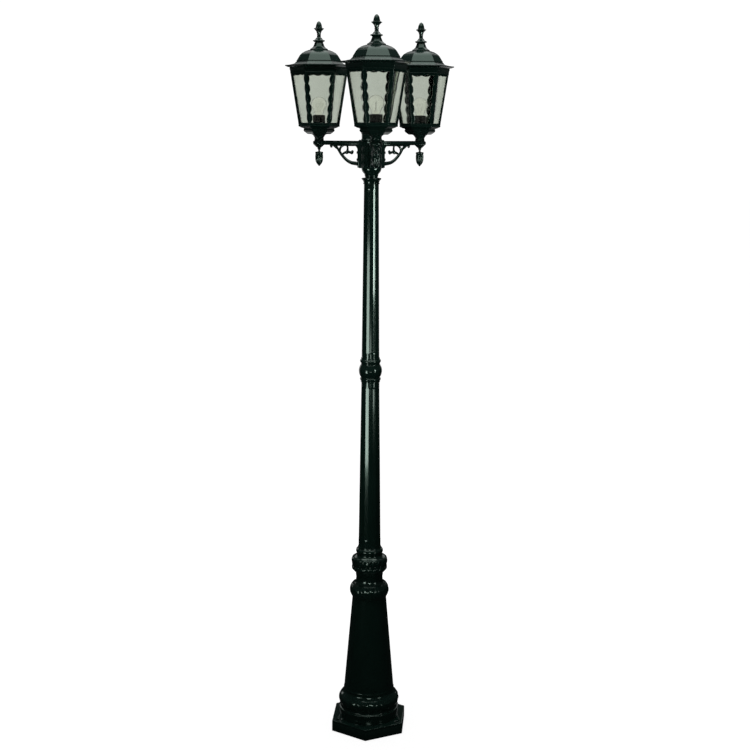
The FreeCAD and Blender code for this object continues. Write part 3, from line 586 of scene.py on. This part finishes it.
def make_capital():
    """The flared ring at the head of the upper tube."""
    foot, head, rim = CAPITAL_FOOT, HUB_FOOT, widest("capital_ring")
    bore = UPPER_HEAD_RADIUS + 0.2
    outline = trace([
        (bore + 2, foot), (bore + 2.6, foot + 2.5, 0.5), (bore + 1.4, foot + 5, -0.4),
        (rim - 1.5, foot + 18.5, -0.22), (rim, foot + 20.5, 0.3), (rim - 1, foot + 24, 0.4),
        (bore + 1, foot + 25.4), (bore - 2.5, head), (bore - 9, head), (bore - 9, UPPER_TOP),
        (bore, UPPER_TOP), (bore, foot),
    ])
    add_casting("capital_casting", softened(lathe(outline, 112), 0.4), "capital_ring")


# ---------------------------------------------------------------- hub

def make_hub():
    """A smooth vase under a ribbed drum with a flat lug for each arm."""
    foot, head, drum, neck = HUB_FOOT, HUB_HEAD, 41.5, 26.5
    outline = trace([
        (neck, foot), (neck + 0.4, foot + 5, -0.2), (neck + 2, foot + 7, 0.5),
        (neck + 1.2, foot + 9, 0.4), (neck + 8.5, foot + 21, -0.16), (drum, foot + 41, 0.2),
        *[(drum, foot + 46 + 8 * step) for step in range(13)], (drum, foot + 146),
        (drum + 1.6, foot + 148), (drum + 1.6, foot + 156, 0.3), (drum, foot + 158),
        (drum, head), (drum - 6, head), (drum - 6, foot + 44), (neck - 6, foot + 14),
        (neck - 6, foot),
    ])

    ripple = lobes(18, 3.0, foot + 30, foot + 144)

    def outer_only(angle, radius, level):
        return ripple(angle, radius, level) - 0.6 if radius == drum and level < foot + 144 else 0

    drum_mesh = softened(lathe(outline, 252, ripple=outer_only), 0.5)
    lug_foot, lug_head = foot + 38, foot + 154
    lug = plate([[(lug_foot, -13), (lug_head, -13), (lug_head, 13), (lug_foot, 13)]],
                LUG_FACE - drum + 5, 1.6)
    upright = Matrix.Rotation(-math.pi / 2, 4, "Y")
    set_out = Matrix.Translation(((LUG_FACE + drum - 5) / 2 * MM, 0, 0))
    lugs = around(lug, 3, Matrix.Rotation(math.pi / 6, 4, "Z") @ set_out @ upright)
    add_casting("hub_casting", joined([drum_mesh, lugs]), "hub")

    low = levels("hub_cap")[0]
    cap = trace([
        (0, low), (drum - 6.2, low), (drum - 6.2, head), (drum + 1, head),
        (drum + 2, head + 1.5, 0.4), (drum + 2, head + 3.5), (drum, head + 5, 0.4),
        (drum - 4, head + 8, -0.3), (10, head + 25, 0.28), (8, head + 27, -0.4),
        (9, head + 34, 0.4), (0, head + 40, 0.3),
    ])
    add_casting("hub_lid", softened(lathe(cap, 96), 0.4), "hub_cap")


# ---------------------------------------------------------------- arms

def from_post(distance):
    return distance - REACH


def make_arm(side):
    """A moulded bar, an upright screwed to the hub and a leafy cup."""
    foot, head, cup = levels(f"arm_{side}")[1] - 40, DISH_FOOT, 26
    bar_head, bar_foot, stem_foot = head - 6, head - 24, levels(f"arm_{side}")[0]
    outline = trace([
        (3.1, foot), (6.5, foot), (7.4, foot + 2, 0.5), (6.8, foot + 4, 0.4),
        (12, foot + 7.5, 0.1), (cup - 2.5, foot + 18.5, -0.08), (cup - 1.5, foot + 21.5, -0.2),
        (cup, foot + 24, 0.4), (cup, foot + 28.5), (cup - 2, foot + 31, 0.4),
        (cup - 6, head - 5, -0.15), (cup - 6.5, head), (6.1, head), (6.1, head - 6),
        (cup - 9, head - 6), (cup - 9, foot + 19), (0, foot + 13), (0, foot + 9),
        (3.1, foot + 9),
    ])
    ripple = lobes(10, 2.8, foot + 5, foot + 24)

    def outer_only(angle, radius, level):
        inside = level > foot + 8 and radius < 12 or radius < 6.6 or abs(radius - cup + 9) < 0.01
        return 0.0 if inside else ripple(angle, radius, level)

    cup_mesh = softened(lathe(outline, 120, ripple=outer_only), 0.35)
    half = [(8, bar_head), (8, bar_head - 11), (5, bar_head - 13, -0.3), (5, bar_head - 14.5),
            (6.4, bar_foot + 2, -0.2), (6.4, bar_foot)]
    section = trace([(-half[0][0], half[0][1])] + [(-x, *rest) for x, *rest in half[1:]])
    section += [(-x, z) for x, z in reversed(section)]
    length = from_post(LUG_FACE), -cup + 8
    bar = plate([section], length[1] - length[0], 0.5)
    to_bar = Matrix(((0, 0, 1, 0), (1, 0, 0, 0), (0, 1, 0, 0), (0, 0, 0, 1)))
    bar_place = Matrix.Translation(((length[0] + length[1]) / 2 * MM, 0, 0)) @ to_bar
    stem = plate([trace([
        (from_post(LUG_FACE), stem_foot), (from_post(STEM_FACE), stem_foot),
        (from_post(STEM_FACE), bar_foot - CORNER_FILLET),
        (from_post(STEM_FACE + CORNER_FILLET), bar_foot, -math.tan(math.pi / 8)),
        (from_post(STEM_FACE + CORNER_FILLET), bar_foot + 3),
        (from_post(LUG_FACE), bar_foot + 3),
    ])], 16, 1.2)
    standing = Matrix.Rotation(math.pi / 2, 4, "X")
    mesh = joined([cup_mesh, (bar, bar_place), (stem, standing)])
    add_casting(f"arm_casting_{side}", mesh, f"arm_{side}", side)


def make_scroll(side):
    """The curled strap under the bar, with its branch, leaf, stalk and beads."""
    bar, start = levels(f"scroll_{side}")[1], levels(f"arm_{side}")[0] + 15
    straps = (
        ([(62, start + 0.5), (102, start + 8), (137, start + 35), (153, start + 56),
          (166, bar - 2)], [8.4, 7.4, 6.2, 5.4, 3.8], 0.9),
        ([(149.5, start + 50), (144, start + 67), (131, bar - 2)], [5.2, 5.0, 3.8], 0.9),
        ([(139, start + 36), (126, start + 45), (108, start + 49), (92, start + 47),
          (87, start + 51), (92, start + 55)], [3.4, 5.2, 5.8, 5.4, 4.2, 2.6], 0.9),
        ([(114, start + 48), (111, start + 62), (113, bar - 1)], [5.8, 4.4, 4.0], 0.9),
        ([(154, start + 58), (166, start + 66), (178, bar - 3)], [3.8, 4.0, 2.8], 0.9),
        ([(78, bar - 1.8), (120, bar - 1.8), (194, bar - 1.8)], [2.6, 2.6, 2.2], 1.5),
    )
    lumps = ((92, start + 46, (7.6, 5.4, 7.2)), (115, start + 47, (8.6, 5.4, 7.6)),
             (151, start + 54, (5.8, 5, 6)), (188, bar - 5.5, (6, 5.4, 6.2)),
             (67, start, (7, 5.8, 6.4)))
    pieces = [stroke([(from_post(distance), level) for distance, level in points], radii, flat)
              for points, radii, flat in straps]
    pieces += [blob(from_post(distance), level, radii) for distance, level, radii in lumps]
    mesh = joined(pieces)
    mesh.shade_smooth()
    add_casting(f"scrollwork_{side}", mesh, f"scroll_{side}", side)


def make_pendant(side):
    """A ribbed acorn drop that hangs under the cup."""
    tip, top = levels(f"pendant_{side}")
    radius, head = widest("pendant_front") - 0.7, top - 8
    outline = trace([
        (0, tip), (3.4, tip + 1.2, 0.3), (4.6, tip + 3.5, -0.1), (radius - 5, tip + 12, 0.1),
        (radius - 0.5, tip + 32, 0.12), (radius - 0.2, tip + 51, 0.03),
        (radius + 0.7, tip + 53), (radius + 0.7, tip + 57), (radius - 1.5, tip + 59, 0.3),
        (5.5, tip + 60.5), (4, tip + 62, -0.3), (4, head - 5), (6, head - 2, 0.3), (6, head),
        (3, head), (3, top), (0, top),
    ])
    ripple = lobes(12, 2.6, tip + 4, tip + 52, 0.8)

    def outer_only(angle, rim, level):
        return ripple(angle, rim, level) - 0.3 if rim > 4.7 and level < tip + 52 else 0.0

    add_casting(f"pendant_drop_{side}", softened(lathe(outline, 120, ripple=outer_only), 0.3),
                f"pendant_{side}", side)


# ---------------------------------------------------------------- lantern bodies

def hexagonal(outline):
    """A six-sided shell with a flat face towards +X."""
    return lathe(outline, 6, phase=30)


def make_dish(side):
    """The leafy neck and the stepped six-sided dish."""
    foot, head, corner = DISH_FOOT, CAGE_FOOT, CAGE_FOOT_CORNER
    neck = trace([
        (6.1, foot), (18, foot), (19.6, foot + 2, 0.4), (18.4, foot + 4, 0.4), (19.5, foot + 7),
        (25, foot + 16.5, -0.1), (40, foot + 21.5, -0.15), (46, foot + 23, 0.1),
        (46, foot + 25), (6.1, foot + 25),
    ])
    ripple = lobes(10, 2.6, foot + 5, foot + 25)

    def outer_only(angle, radius, level):
        return ripple(angle, radius, level) if radius > 17 else 0.0

    dish = trace([
        (corner - 44, foot + 20), (corner - 38, foot + 20), (corner - 36, foot + 21.5, 0.2),
        (corner - 25.5, foot + 29, 0.08), (corner - 22.5, foot + 30, -0.2),
        (corner - 21.5, foot + 33), (corner - 20, foot + 35, 0.4), (corner - 20, foot + 38),
        (corner - 21.5, foot + 39.5, 0.3), (corner - 21.5, foot + 42),
        (corner - 19, foot + 44.5, -0.2), (corner - 8, foot + 48, 0.08),
        (corner - 6.5, foot + 49, -0.2), (corner - 3, head - 1), (corner - 4, head),
        (corner - 11, head), (corner - 27, foot + 43), (corner - 44, foot + 27),
    ])
    mesh = joined([softened(lathe(neck, 120, ripple=outer_only), 0.35),
                   softened(hexagonal(dish), 0.6, angle=12)])
    add_casting(f"dish_casting_{side}", mesh, f"dish_{side}", side)


def window_outline(low_half, high_half, height):
    """One window cut in scallops; x is across the face and y up its slope."""
    side_scallops, swell = 5, -0.32
    right = [(low_half + (high_half - low_half) * index / side_scallops,
              height * index / side_scallops, swell) for index in range(side_scallops + 1)]
    right[0] = right[0][:2]
    head = [(high_half * share, height, swell) for share in (1 / 3, -1 / 3, -1)]
    left = [(-x, y, swell) for x, y, *_ in reversed(right[:-1])]
    return trace(right + head + left + [(low_half, 0)])[:-1]


def make_cage(side):
    """Six tapered panels with scalloped windows, corner beads and moulded rails."""
    rise = CAGE_HEAD - CAGE_FOOT
    face_foot, face_head = CAGE_FOOT_CORNER * HALF_HEXAGON, CAGE_HEAD_CORNER * HALF_HEXAGON
    slope = math.atan2(face_head - face_foot, rise)
    height = rise / math.cos(slope)
    half_foot, half_head = CAGE_FOOT_CORNER / 2, CAGE_HEAD_CORNER / 2
    sill, lintel = 16, height - 30
    low_half, high_half = (half_foot + (half_head - half_foot) * level / height - 9.5
                           for level in (sill, lintel))
    window = [(x, y + sill) for x, y in window_outline(low_half, high_half, lintel - sill)]
    thickness = 4.6
    panel = plate([[(-half_foot + 0.4, 0), (half_foot - 0.4, 0),
                    (half_head - 0.4, height), (-half_head + 0.4, height)], window], thickness, 0.9)
    lean = Matrix((
        (0, math.sin(slope), math.cos(slope), (face_foot - thickness / 2) * MM),
        (1, 0, 0, 0),
        (0, math.cos(slope), -math.sin(slope), CAGE_FOOT * MM),
        (0, 0, 0, 1)))
    parts = [around(panel, 6, lean)]

    corner_lean = math.atan2(CAGE_HEAD_CORNER - CAGE_FOOT_CORNER, rise)
    edge = rise / math.cos(corner_lean)
    bead = stroke([(0, 0), (0, edge / 2), (0, edge)], [2.7] * 3)
    bead_place = (Matrix.Rotation(math.pi / 6, 4, "Z")
                  @ Matrix.Translation(((CAGE_FOOT_CORNER - 3.2) * MM, 0, CAGE_FOOT * MM))
                  @ Matrix.Rotation(corner_lean, 4, "Y"))
    parts.append(around(bead, 6, bead_place))

    def corner_at(level):
        return CAGE_FOOT_CORNER + (CAGE_HEAD_CORNER - CAGE_FOOT_CORNER) * (level - CAGE_FOOT) / rise

    for level, depth, proud in ((CAGE_FOOT + 4, 7, 1.0), (CAGE_FOOT + 11.5, 3, 0.6),
                                (CAGE_HEAD - 23, 3.5, 0.7), (CAGE_HEAD - 5, 9, 0.2)):
        corner = corner_at(level)
        low, high = level - depth / 2, level + depth / 2
        rail = trace([(corner - 5, low), (corner, low), (corner, high, 2 * proud / depth),
                      (corner - 5, high)])
        parts.append(softened(hexagonal(rail), 0.5, angle=20))
    add_casting(f"cage_casting_{side}", joined(parts), f"cage_{side}", side)


def make_panes(side):
    """Six tapered panes behind the windows."""
    rise = CAGE_HEAD - CAGE_FOOT
    face_foot, face_head = ((corner - 5.5) * HALF_HEXAGON for corner in
                            (CAGE_FOOT_CORNER, CAGE_HEAD_CORNER))
    slope = math.atan2(face_head - face_foot, rise)
    height = (rise - 7) / math.cos(slope)
    half_foot, half_head = (face / HALF_HEXAGON / 2 - 3.5 for face in (face_foot, face_head))
    pane = plate([[(-half_foot, 0), (half_foot, 0), (half_head, height), (-half_head, height)]],
                 3, 0.3)
    lean = Matrix((
        (0, math.sin(slope), math.cos(slope), (face_foot - 1.9) * MM),
        (1, 0, 0, 0),
        (0, math.cos(slope), -math.sin(slope), (CAGE_FOOT + 2.2) * MM),
        (0, 0, 0, 1)))
    add_piece(f"panes_{side}", around(pane, 6, lean), "post", "lantern_glass", LANTERN_GLASS,
              f"glass_panes_{side}", side=side)


def make_roof(side):
    """A six-sided dome with a thin brim, a raised fillet and a steep little cap."""
    rest, brim, peak = levels(f"roof_{side}")[0], widest("roof_front"), 17
    outline = trace([
        (brim - 17, rest), (brim - 12, rest), (brim - 1, rest + 4.4, -0.05),
        (brim, rest + 5.4, 0.2), (brim, rest + 7.4), (brim - 1, rest + 8.4, 0.3),
        (brim - 20, rest + 10.4), (brim - 38, rest + 14.2), (brim - 44.5, rest + 20.4, -0.05),
        (brim - 45.5, rest + 21.8, 0.3), (brim - 48, rest + 22.6), (brim - 48.6, rest + 24.6),
        (brim - 47.6, rest + 25.8), (brim - 52, rest + 32.4), (brim - 61, rest + 47),
        (brim - 71, rest + 57.5, 0.05), (brim - 84, rest + 65, 0.03), (brim - 99, rest + 70),
        (brim - 101, rest + 69.8), (brim - 104.6, rest + 70.6), (brim - 104, rest + 73.4),
        (brim - 105.5, rest + 74.6, 0.3), (peak + 7, rest + 84, -0.1), (peak, ROOF_HEAD, -0.03),
        (4.2, ROOF_HEAD), (4.2, rest + 65), (peak + 20, rest + 63.5), (brim - 77, rest + 54),
        (brim - 62, rest + 40), (brim - 54, rest + 24), (brim - 47, rest + 14),
        (brim - 30, rest + 5),
    ])
    add_casting(f"roof_casting_{side}", softened(hexagonal(outline), 0.8, 3, angle=9),
                f"roof_{side}", side, f"roof_{side}")


def leaf(length, width, root, tip, lean):
    """One pointed leaf that rises from its root and curls outwards; (radius, level) ends."""
    grid = bmesh.new()
    rows, columns = 10, 6
    lattice = []
    for row in range(rows + 1):
        part = row / rows
        half = width * math.sin(math.pi * min(1.0, part * 0.86 + 0.14)) ** 0.8
        reach = root[0] + (tip[0] - root[0]) * (part ** lean)
        level = root[1] + (tip[1] - root[1]) * math.sin(part * math.pi / 2)
        line = []
        for column in range(columns + 1):
            across = 2 * column / columns - 1
            fold = (1 - abs(across)) * length * 0.08 * math.sin(math.pi * part)
            line.append(grid.verts.new(((reach + fold) * MM, across * half * MM, level * MM)))
        lattice.append(line)
    for low, high in zip(lattice, lattice[1:]):
        for column in range(columns):
            grid.faces.new((low[column], low[column + 1], high[column + 1], high[column]))
    bmesh.ops.solidify(grid, geom=grid.faces[:], thickness=1.6 * MM)
    mesh = tidy_mesh(grid)
    mesh.shade_smooth()
    return mesh


def make_finial(side):
    """A flared collar, a stem, a crown of leaves and a faceted bud."""
    foot, tip, stud = ROOF_HEAD, levels("finial_front")[1], 4
    core = trace([
        (0, foot - 24), (stud, foot - 24), (stud, foot), (17, foot), (24.6, foot + 4.4, -0.1),
        (25.5, foot + 5.6, 0.3), (24.4, foot + 7.6, 0.3), (15, foot + 12.6, -0.15),
        (13.6, foot + 14), (12.6, foot + 16.5, 0.5), (8.6, foot + 21, -0.2), (7.4, foot + 28),
        (8.8, foot + 30, 0.5), (7.4, foot + 32, 0.4), (8.8, foot + 39), (12.5, foot + 47, -0.1),
        (19.8, foot + 54, -0.15), (20.2, foot + 55.4, 0.4), (13, foot + 58.4, -0.1),
        (13.2, foot + 61, 0.2), (12, foot + 67, 0.1), (9, tip - 9, 0.1), (4, tip - 2.2, 0.2),
        (0, tip, 0.2),
    ])
    bud, crown = lobes(6, 1.6, foot + 59, tip, 0.7), lobes(8, 4.0, foot + 43, foot + 62)

    def petals(angle, radius, level):
        return bud(angle, radius, level) + (crown(angle, radius, level) if radius > 9 else 0.0)

    leaves = around(leaf(28, 6.2, (8.5, foot + 35), (21, foot + 55.5), 2.2), 6)
    mesh = joined([softened(lathe(core, 96, ripple=petals), 0.3),
                   (leaves, Matrix.Rotation(math.pi / 6, 4, "Z"))])
    add_casting(f"finial_crown_{side}", mesh, f"finial_{side}", side, f"roof_{side}")


# ---------------------------------------------------------------- lampholder and bulb

def make_lampholder(side):
    """A moulded screw lampholder with upright grips round its skirt."""
    floor, head = levels(f"lampholder_{side}")
    radius, bore = widest("lampholder_front") - 2, 13.8
    seat = levels("bulb_contact_front")[0] - 3
    outline = trace([
        (6.1, floor), (radius + 2, floor), (radius + 2, floor + 5),
        (radius + 1, floor + 6, 0.3), (radius - 3, floor + 12, -0.2), (radius - 3, floor + 42),
        (radius - 1, floor + 46, 0.2), (radius, floor + 48), (radius, head - 5),
        (radius - 1, head - 2, 0.3), (radius - 4, head, 0.3), (bore + 2.6, head),
        (bore, head - 7), (bore, seat), (9, seat), (9, floor + 10), (6.1, floor + 10),
    ])

    def grips(angle, rim, level):
        on_skirt = rim > radius - 1.5 and floor + 47 < level < head - 2
        return 1.0 * (1 if math.cos(20 * angle) > 0 else -1) - 1.0 if on_skirt else 0.0

    add_piece(f"holder_{side}", softened(lathe(outline, 160, ripple=grips), 0.25), "post",
              "black_plastic", BLACK_PLASTIC, f"lampholder_{side}", side=side)


def make_bulb(side):
    """The contact plug, the threaded cap and the pear-shaped glass with its wires."""
    foot, head = levels("bulb_contact_front")[0], levels("bulb_cap_front")[1]
    plug = trace([(0, foot), (4.2, foot + 1, 0.2), (4.2, foot + 1.6), (7, foot + 2.2, 0.1),
                  (9.6, foot + 4, 0.1), (9.6, foot + 7), (0, foot + 7)])
    add_piece(f"contact_plug_{side}", softened(lathe(plug, 48), 0.3), f"bulb_lift_{side}",
              "black_plastic", BLACK_PLASTIC, f"bulb_contact_{side}", side=side)

    thread = [(12.4 + 0.7 * math.cos(math.pi * step / 4), foot + 7.5 + step * 0.45)
              for step in range(48)]
    cap = [(10.0, foot + 4), (12.2, foot + 6.4), *thread, (13.1, head - 2), (13.1, head),
           (12.3, head), (11.4, head - 3), (11.4, foot + 8), (10.0, foot + 5.5)]
    add_piece(f"threaded_cap_{side}", softened(lathe(cap, 64), 0.15), f"bulb_{side}",
              "cap_metal", CAP_METAL, f"bulb_cap_{side}", side=side)

    crown, ball = levels("bulb_glass_front")[1], widest("bulb_glass_front")
    middle = crown - ball
    shell = trace([
        (13, head + 0.2), (14.5, head + 8, -0.05), (ball - 2, middle - 12, -0.1),
        (ball, middle, 0.11), (0, crown, 0.414), (0, crown - 1), (ball - 1, middle, -0.414),
        (ball - 3, middle - 12, -0.11), (13.5, head + 8, 0.1), (12, head + 0.2, 0.05),
    ])
    glass = lathe(shell, 72)
    glass.shade_smooth()
    add_piece(f"bulb_envelope_{side}", glass, f"bulb_{side}", "bulb_glass", BULB_GLASS,
              f"bulb_glass_{side}", side=side)

    stem = lathe(trace([(0, head - 4), (9, head - 4), (6, head + 8, -0.2), (3, head + 26, -0.1),
                        (2.6, head + 30), (0, head + 31, 0.3)]), 32)
    wires = [stroke([(-3, head + 18), (-9, head + 38), (-15, middle)], [0.5, 0.5, 0.5]),
             stroke([(3, head + 18), (9, head + 38), (15, middle)], [0.5, 0.5, 0.5]),
             stroke([(-15, middle), (-8, middle + 4), (0, middle - 1), (8, middle + 4),
                     (15, middle)], [0.45] * 5)]
    add_piece(f"filament_{side}", joined(wires), f"bulb_{side}", "cap_metal", ZINC, side=side)
    stem.shade_smooth()
    add_piece(f"bulb_stem_{side}", stem, f"bulb_{side}", "bulb_glass", BULB_GLASS, side=side)


# ---------------------------------------------------------------- screws and hidden pieces

def cap_screw(radius, length, head_radius, head_height):
    """A socket cap screw along +Z, with its head on top."""
    shank = lathe([(0, 0), (radius - 0.6, 0), (radius, 0.8), (radius, length), (0, length)], 32)
    head = lathe(trace([(0, 0), (head_radius, 0), (head_radius, head_height - 0.8),
                        (head_radius - 0.8, head_height, 0.4), (head_radius * 0.5, head_height),
                        (head_radius * 0.5, head_height * 0.45), (0, head_height * 0.4)]), 36)
    return joined([softened(shank, 0.2), (softened(head, 0.25), lift(length))])


def make_arm_screws():
    """Two cap screws through each arm's upright."""
    outwards = Matrix.Rotation(math.pi / 2, 4, "Y")
    low, high = levels("arm_screws")
    tip, head_radius = 35.5, 6.5
    screw = cap_screw(4, STEM_FACE - tip, head_radius, 5)
    column = joined([(screw, Matrix.Translation((tip * MM, 0, level * MM)) @ outwards)
                     for level in (low + head_radius, high - head_radius)])
    mesh = joined([(around(column, 3), Matrix.Rotation(math.pi / 6, 4, "Z"))])
    add_piece("arm_cap_screws", mesh, "post", "zinc_steel", ZINC, "arm_screws")


def finish_hidden_nodes():
    """Materials for the CAD nodes that are shown as they are."""
    looks = {"terminal_bracket": ZINC, "terminal_block": WHITE_PLASTIC, "riser_cable": SHEATH,
             "collar_screws": ZINC, "joint_screws": ZINC}
    for side in ARMS:
        looks[f"lead_{side}"] = SHEATH
        looks[f"nipple_{side}"] = BRASS
    for node, material in looks.items():
        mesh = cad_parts[node].data
        mesh.materials.clear()
        mesh.materials.append(material)


# ---------------------------------------------------------------- stage, light and camera

def seen_or_unseen(nodes, seen, unseen, output):
    """Feeds one shader to the camera's rays, also through glass, and another to all others."""
    rays = nodes.add("ShaderNodeLightPath")
    direct = nodes.add("ShaderNodeMath", operation="MAXIMUM")
    nodes.link(rays.outputs["Is Camera Ray"], direct.inputs[0])
    nodes.link(rays.outputs["Is Transmission Ray"], direct.inputs[1])
    mix = nodes.add("ShaderNodeMixShader")
    nodes.link(direct.outputs["Value"], mix.inputs["Fac"])
    nodes.link(unseen, mix.inputs[1])
    nodes.link(seen, mix.inputs[2])
    nodes.link(mix.outputs["Shader"], output.inputs["Surface"])


def stage_material(name, near, far, unseen):
    """A pale surface, whiter far away, that lights the object more softly than it looks."""
    material = bpy.data.materials.new(name)
    material.use_nodes = True
    nodes = Nodes(material.node_tree)
    material.node_tree.nodes.clear()
    output = nodes.add("ShaderNodeOutputMaterial")
    pale = nodes.add("ShaderNodeBsdfDiffuse", Color=(0.3, 0.3, 0.3, 1))
    place = nodes.add("ShaderNodeTexCoord")
    away = nodes.add("ShaderNodeVectorMath", operation="LENGTH")
    nodes.link(place.outputs["Object"], away.inputs[0])
    shown = nodes.add("ShaderNodeMapRange", **{"From Min": 0.3, "From Max": 1.6,
                                               "To Min": near, "To Max": far})
    nodes.link(away.outputs["Value"], shown.inputs["Value"])
    glow = nodes.add("ShaderNodeEmission", Color=(1, 1, 1, 1))
    nodes.link(shown.outputs["Result"], glow.inputs["Strength"])
    seen = nodes.add("ShaderNodeAddShader")
    nodes.link(pale.outputs["BSDF"], seen.inputs[0])
    nodes.link(glow.outputs["Emission"], seen.inputs[1])
    dim = nodes.add("ShaderNodeBsdfDiffuse", Color=(unseen, unseen, unseen, 1))
    seen_or_unseen(nodes, seen.outputs["Shader"], dim.outputs["BSDF"], output)
    return material


def make_floor():
    """A wide pale disc just under the foot."""
    grid = bmesh.new()
    bmesh.ops.create_circle(grid, cap_ends=True, radius=60, segments=96)
    mesh = bpy.data.meshes.new("floor")
    grid.to_mesh(mesh)
    grid.free()
    mesh.materials.append(stage_material("pale_floor", 0.88, 1.02, 0.02))
    floor = bpy.data.objects.new("floor", mesh)
    floor.location.z = -0.0005
    scene.collection.objects.link(floor)


def make_world():
    """White where it is looked at, and a dim studio where it lights the object."""
    world = bpy.data.worlds.new("studio")
    scene.world = world
    world.use_nodes = True
    nodes = Nodes(world.node_tree)
    world.node_tree.nodes.clear()
    output = nodes.add("ShaderNodeOutputWorld")
    bright = nodes.add("ShaderNodeBackground", Color=(1, 1, 1, 1), Strength=1.05)
    dim = nodes.add("ShaderNodeBackground", Color=(0.95, 1, 1, 1), Strength=0.03)
    seen_or_unseen(nodes, bright.outputs["Background"], dim.outputs["Background"], output)


def soft_box(name, azimuth, distance, level, size, power, target, spread=180):
    """A rectangular light round the post, aimed at a level on its axis, or down without one."""
    light = bpy.data.lights.new(name, "AREA")
    light.shape = "RECTANGLE"
    light.size, light.size_y = size
    light.energy = power
    light.spread = math.radians(spread)
    lamp = bpy.data.objects.new(name, light)
    angle = math.radians(azimuth)
    lamp.location = (math.sin(angle) * distance, -math.cos(angle) * distance, level)
    if target is not None:
        heading = Vector((0, 0, target)) - lamp.location
        lamp.rotation_euler = heading.to_track_quat("-Z", "Y").to_euler()
    lamp.visible_camera = False
    lamp.visible_transmission = False
    scene.collection.objects.link(lamp)


def make_lights():
    """Two keys aimed at the lanterns, low lights for the base, rear lights and a ceiling."""
    soft_box("key_right", 44, 3.2, 2.0, (0.5, 0.8), 3.8, 2.6, 62)
    soft_box("key_left", -42, 3.2, 1.2, (0.7, 1.45), 3.6, 2.1, 62)
    soft_box("low_right", 43, 3.2, 1.0, (0.6, 0.3), 3.2, 0.4)
    soft_box("low_front", -3, 3.2, 1.2, (0.8, 0.3), 1, 0.4, 62)
    soft_box("low_left", -50, 3.2, 0.9, (0.6, 0.4), 3.4, 0.4)
    soft_box("rear_right", 150, 3.5, 1.7, (1.2, 2.4), 5, 1.7)
    soft_box("rear_left", -150, 3.5, 1.7, (1.2, 2.4), 8, 1.7)
    soft_box("rear_high", 180, 3.5, 4.9, (4.6, 1.2), 9, 2.9)
    soft_box("overhead", 0, 0.1, 4.6, (3.4, 3.6), 62, None, 150)


CAMERA_AZIMUTH = -4
CAMERA_DISTANCE = 5.463
CAMERA_HEIGHT = 2.613
CAMERA_PITCH = 10.6
CAMERA_YAW = 0.205
CAMERA_ROLL = 0.34
CAMERA_LENS = 62.5


def make_camera():
    data = bpy.data.cameras.new("camera")
    data.lens = CAMERA_LENS
    data.sensor_width = 36
    camera = bpy.data.objects.new("camera", data)
    angle = math.radians(CAMERA_AZIMUTH)
    place = Vector((math.sin(angle), -math.cos(angle), 0)) * CAMERA_DISTANCE
    place.z = CAMERA_HEIGHT
    turn = (Matrix.Rotation(angle - math.radians(CAMERA_YAW), 4, "Z")
            @ Matrix.Rotation(math.radians(90 - CAMERA_PITCH), 4, "X")
            @ Matrix.Rotation(math.radians(CAMERA_ROLL), 4, "Z"))
    camera.matrix_world = Matrix.Translation(place) @ turn
    scene.collection.objects.link(camera)
    scene.camera = camera
    scene.view_settings.view_transform = "Standard"


# ---------------------------------------------------------------- the whole lamp

make_foot()
make_column()
make_collar()
make_tube("lower_tube", LOWER_SEAT, LOWER_TAPER, LOWER_TOP, LOWER_RADIUS, LOWER_HEAD_RADIUS)
make_mid_joint()
make_tube("upper_tube", UPPER_SEAT, UPPER_TAPER, UPPER_TOP, UPPER_RADIUS, UPPER_HEAD_RADIUS)
make_capital()
make_hub()
make_arm_screws()
for arm_side in ARMS:
    for make_part in (make_arm, make_scroll, make_pendant, make_dish, make_cage, make_panes,
                      make_roof, make_finial, make_lampholder, make_bulb):
        make_part(arm_side)
finish_hidden_nodes()
make_floor()
make_world()
make_lights()
make_camera()
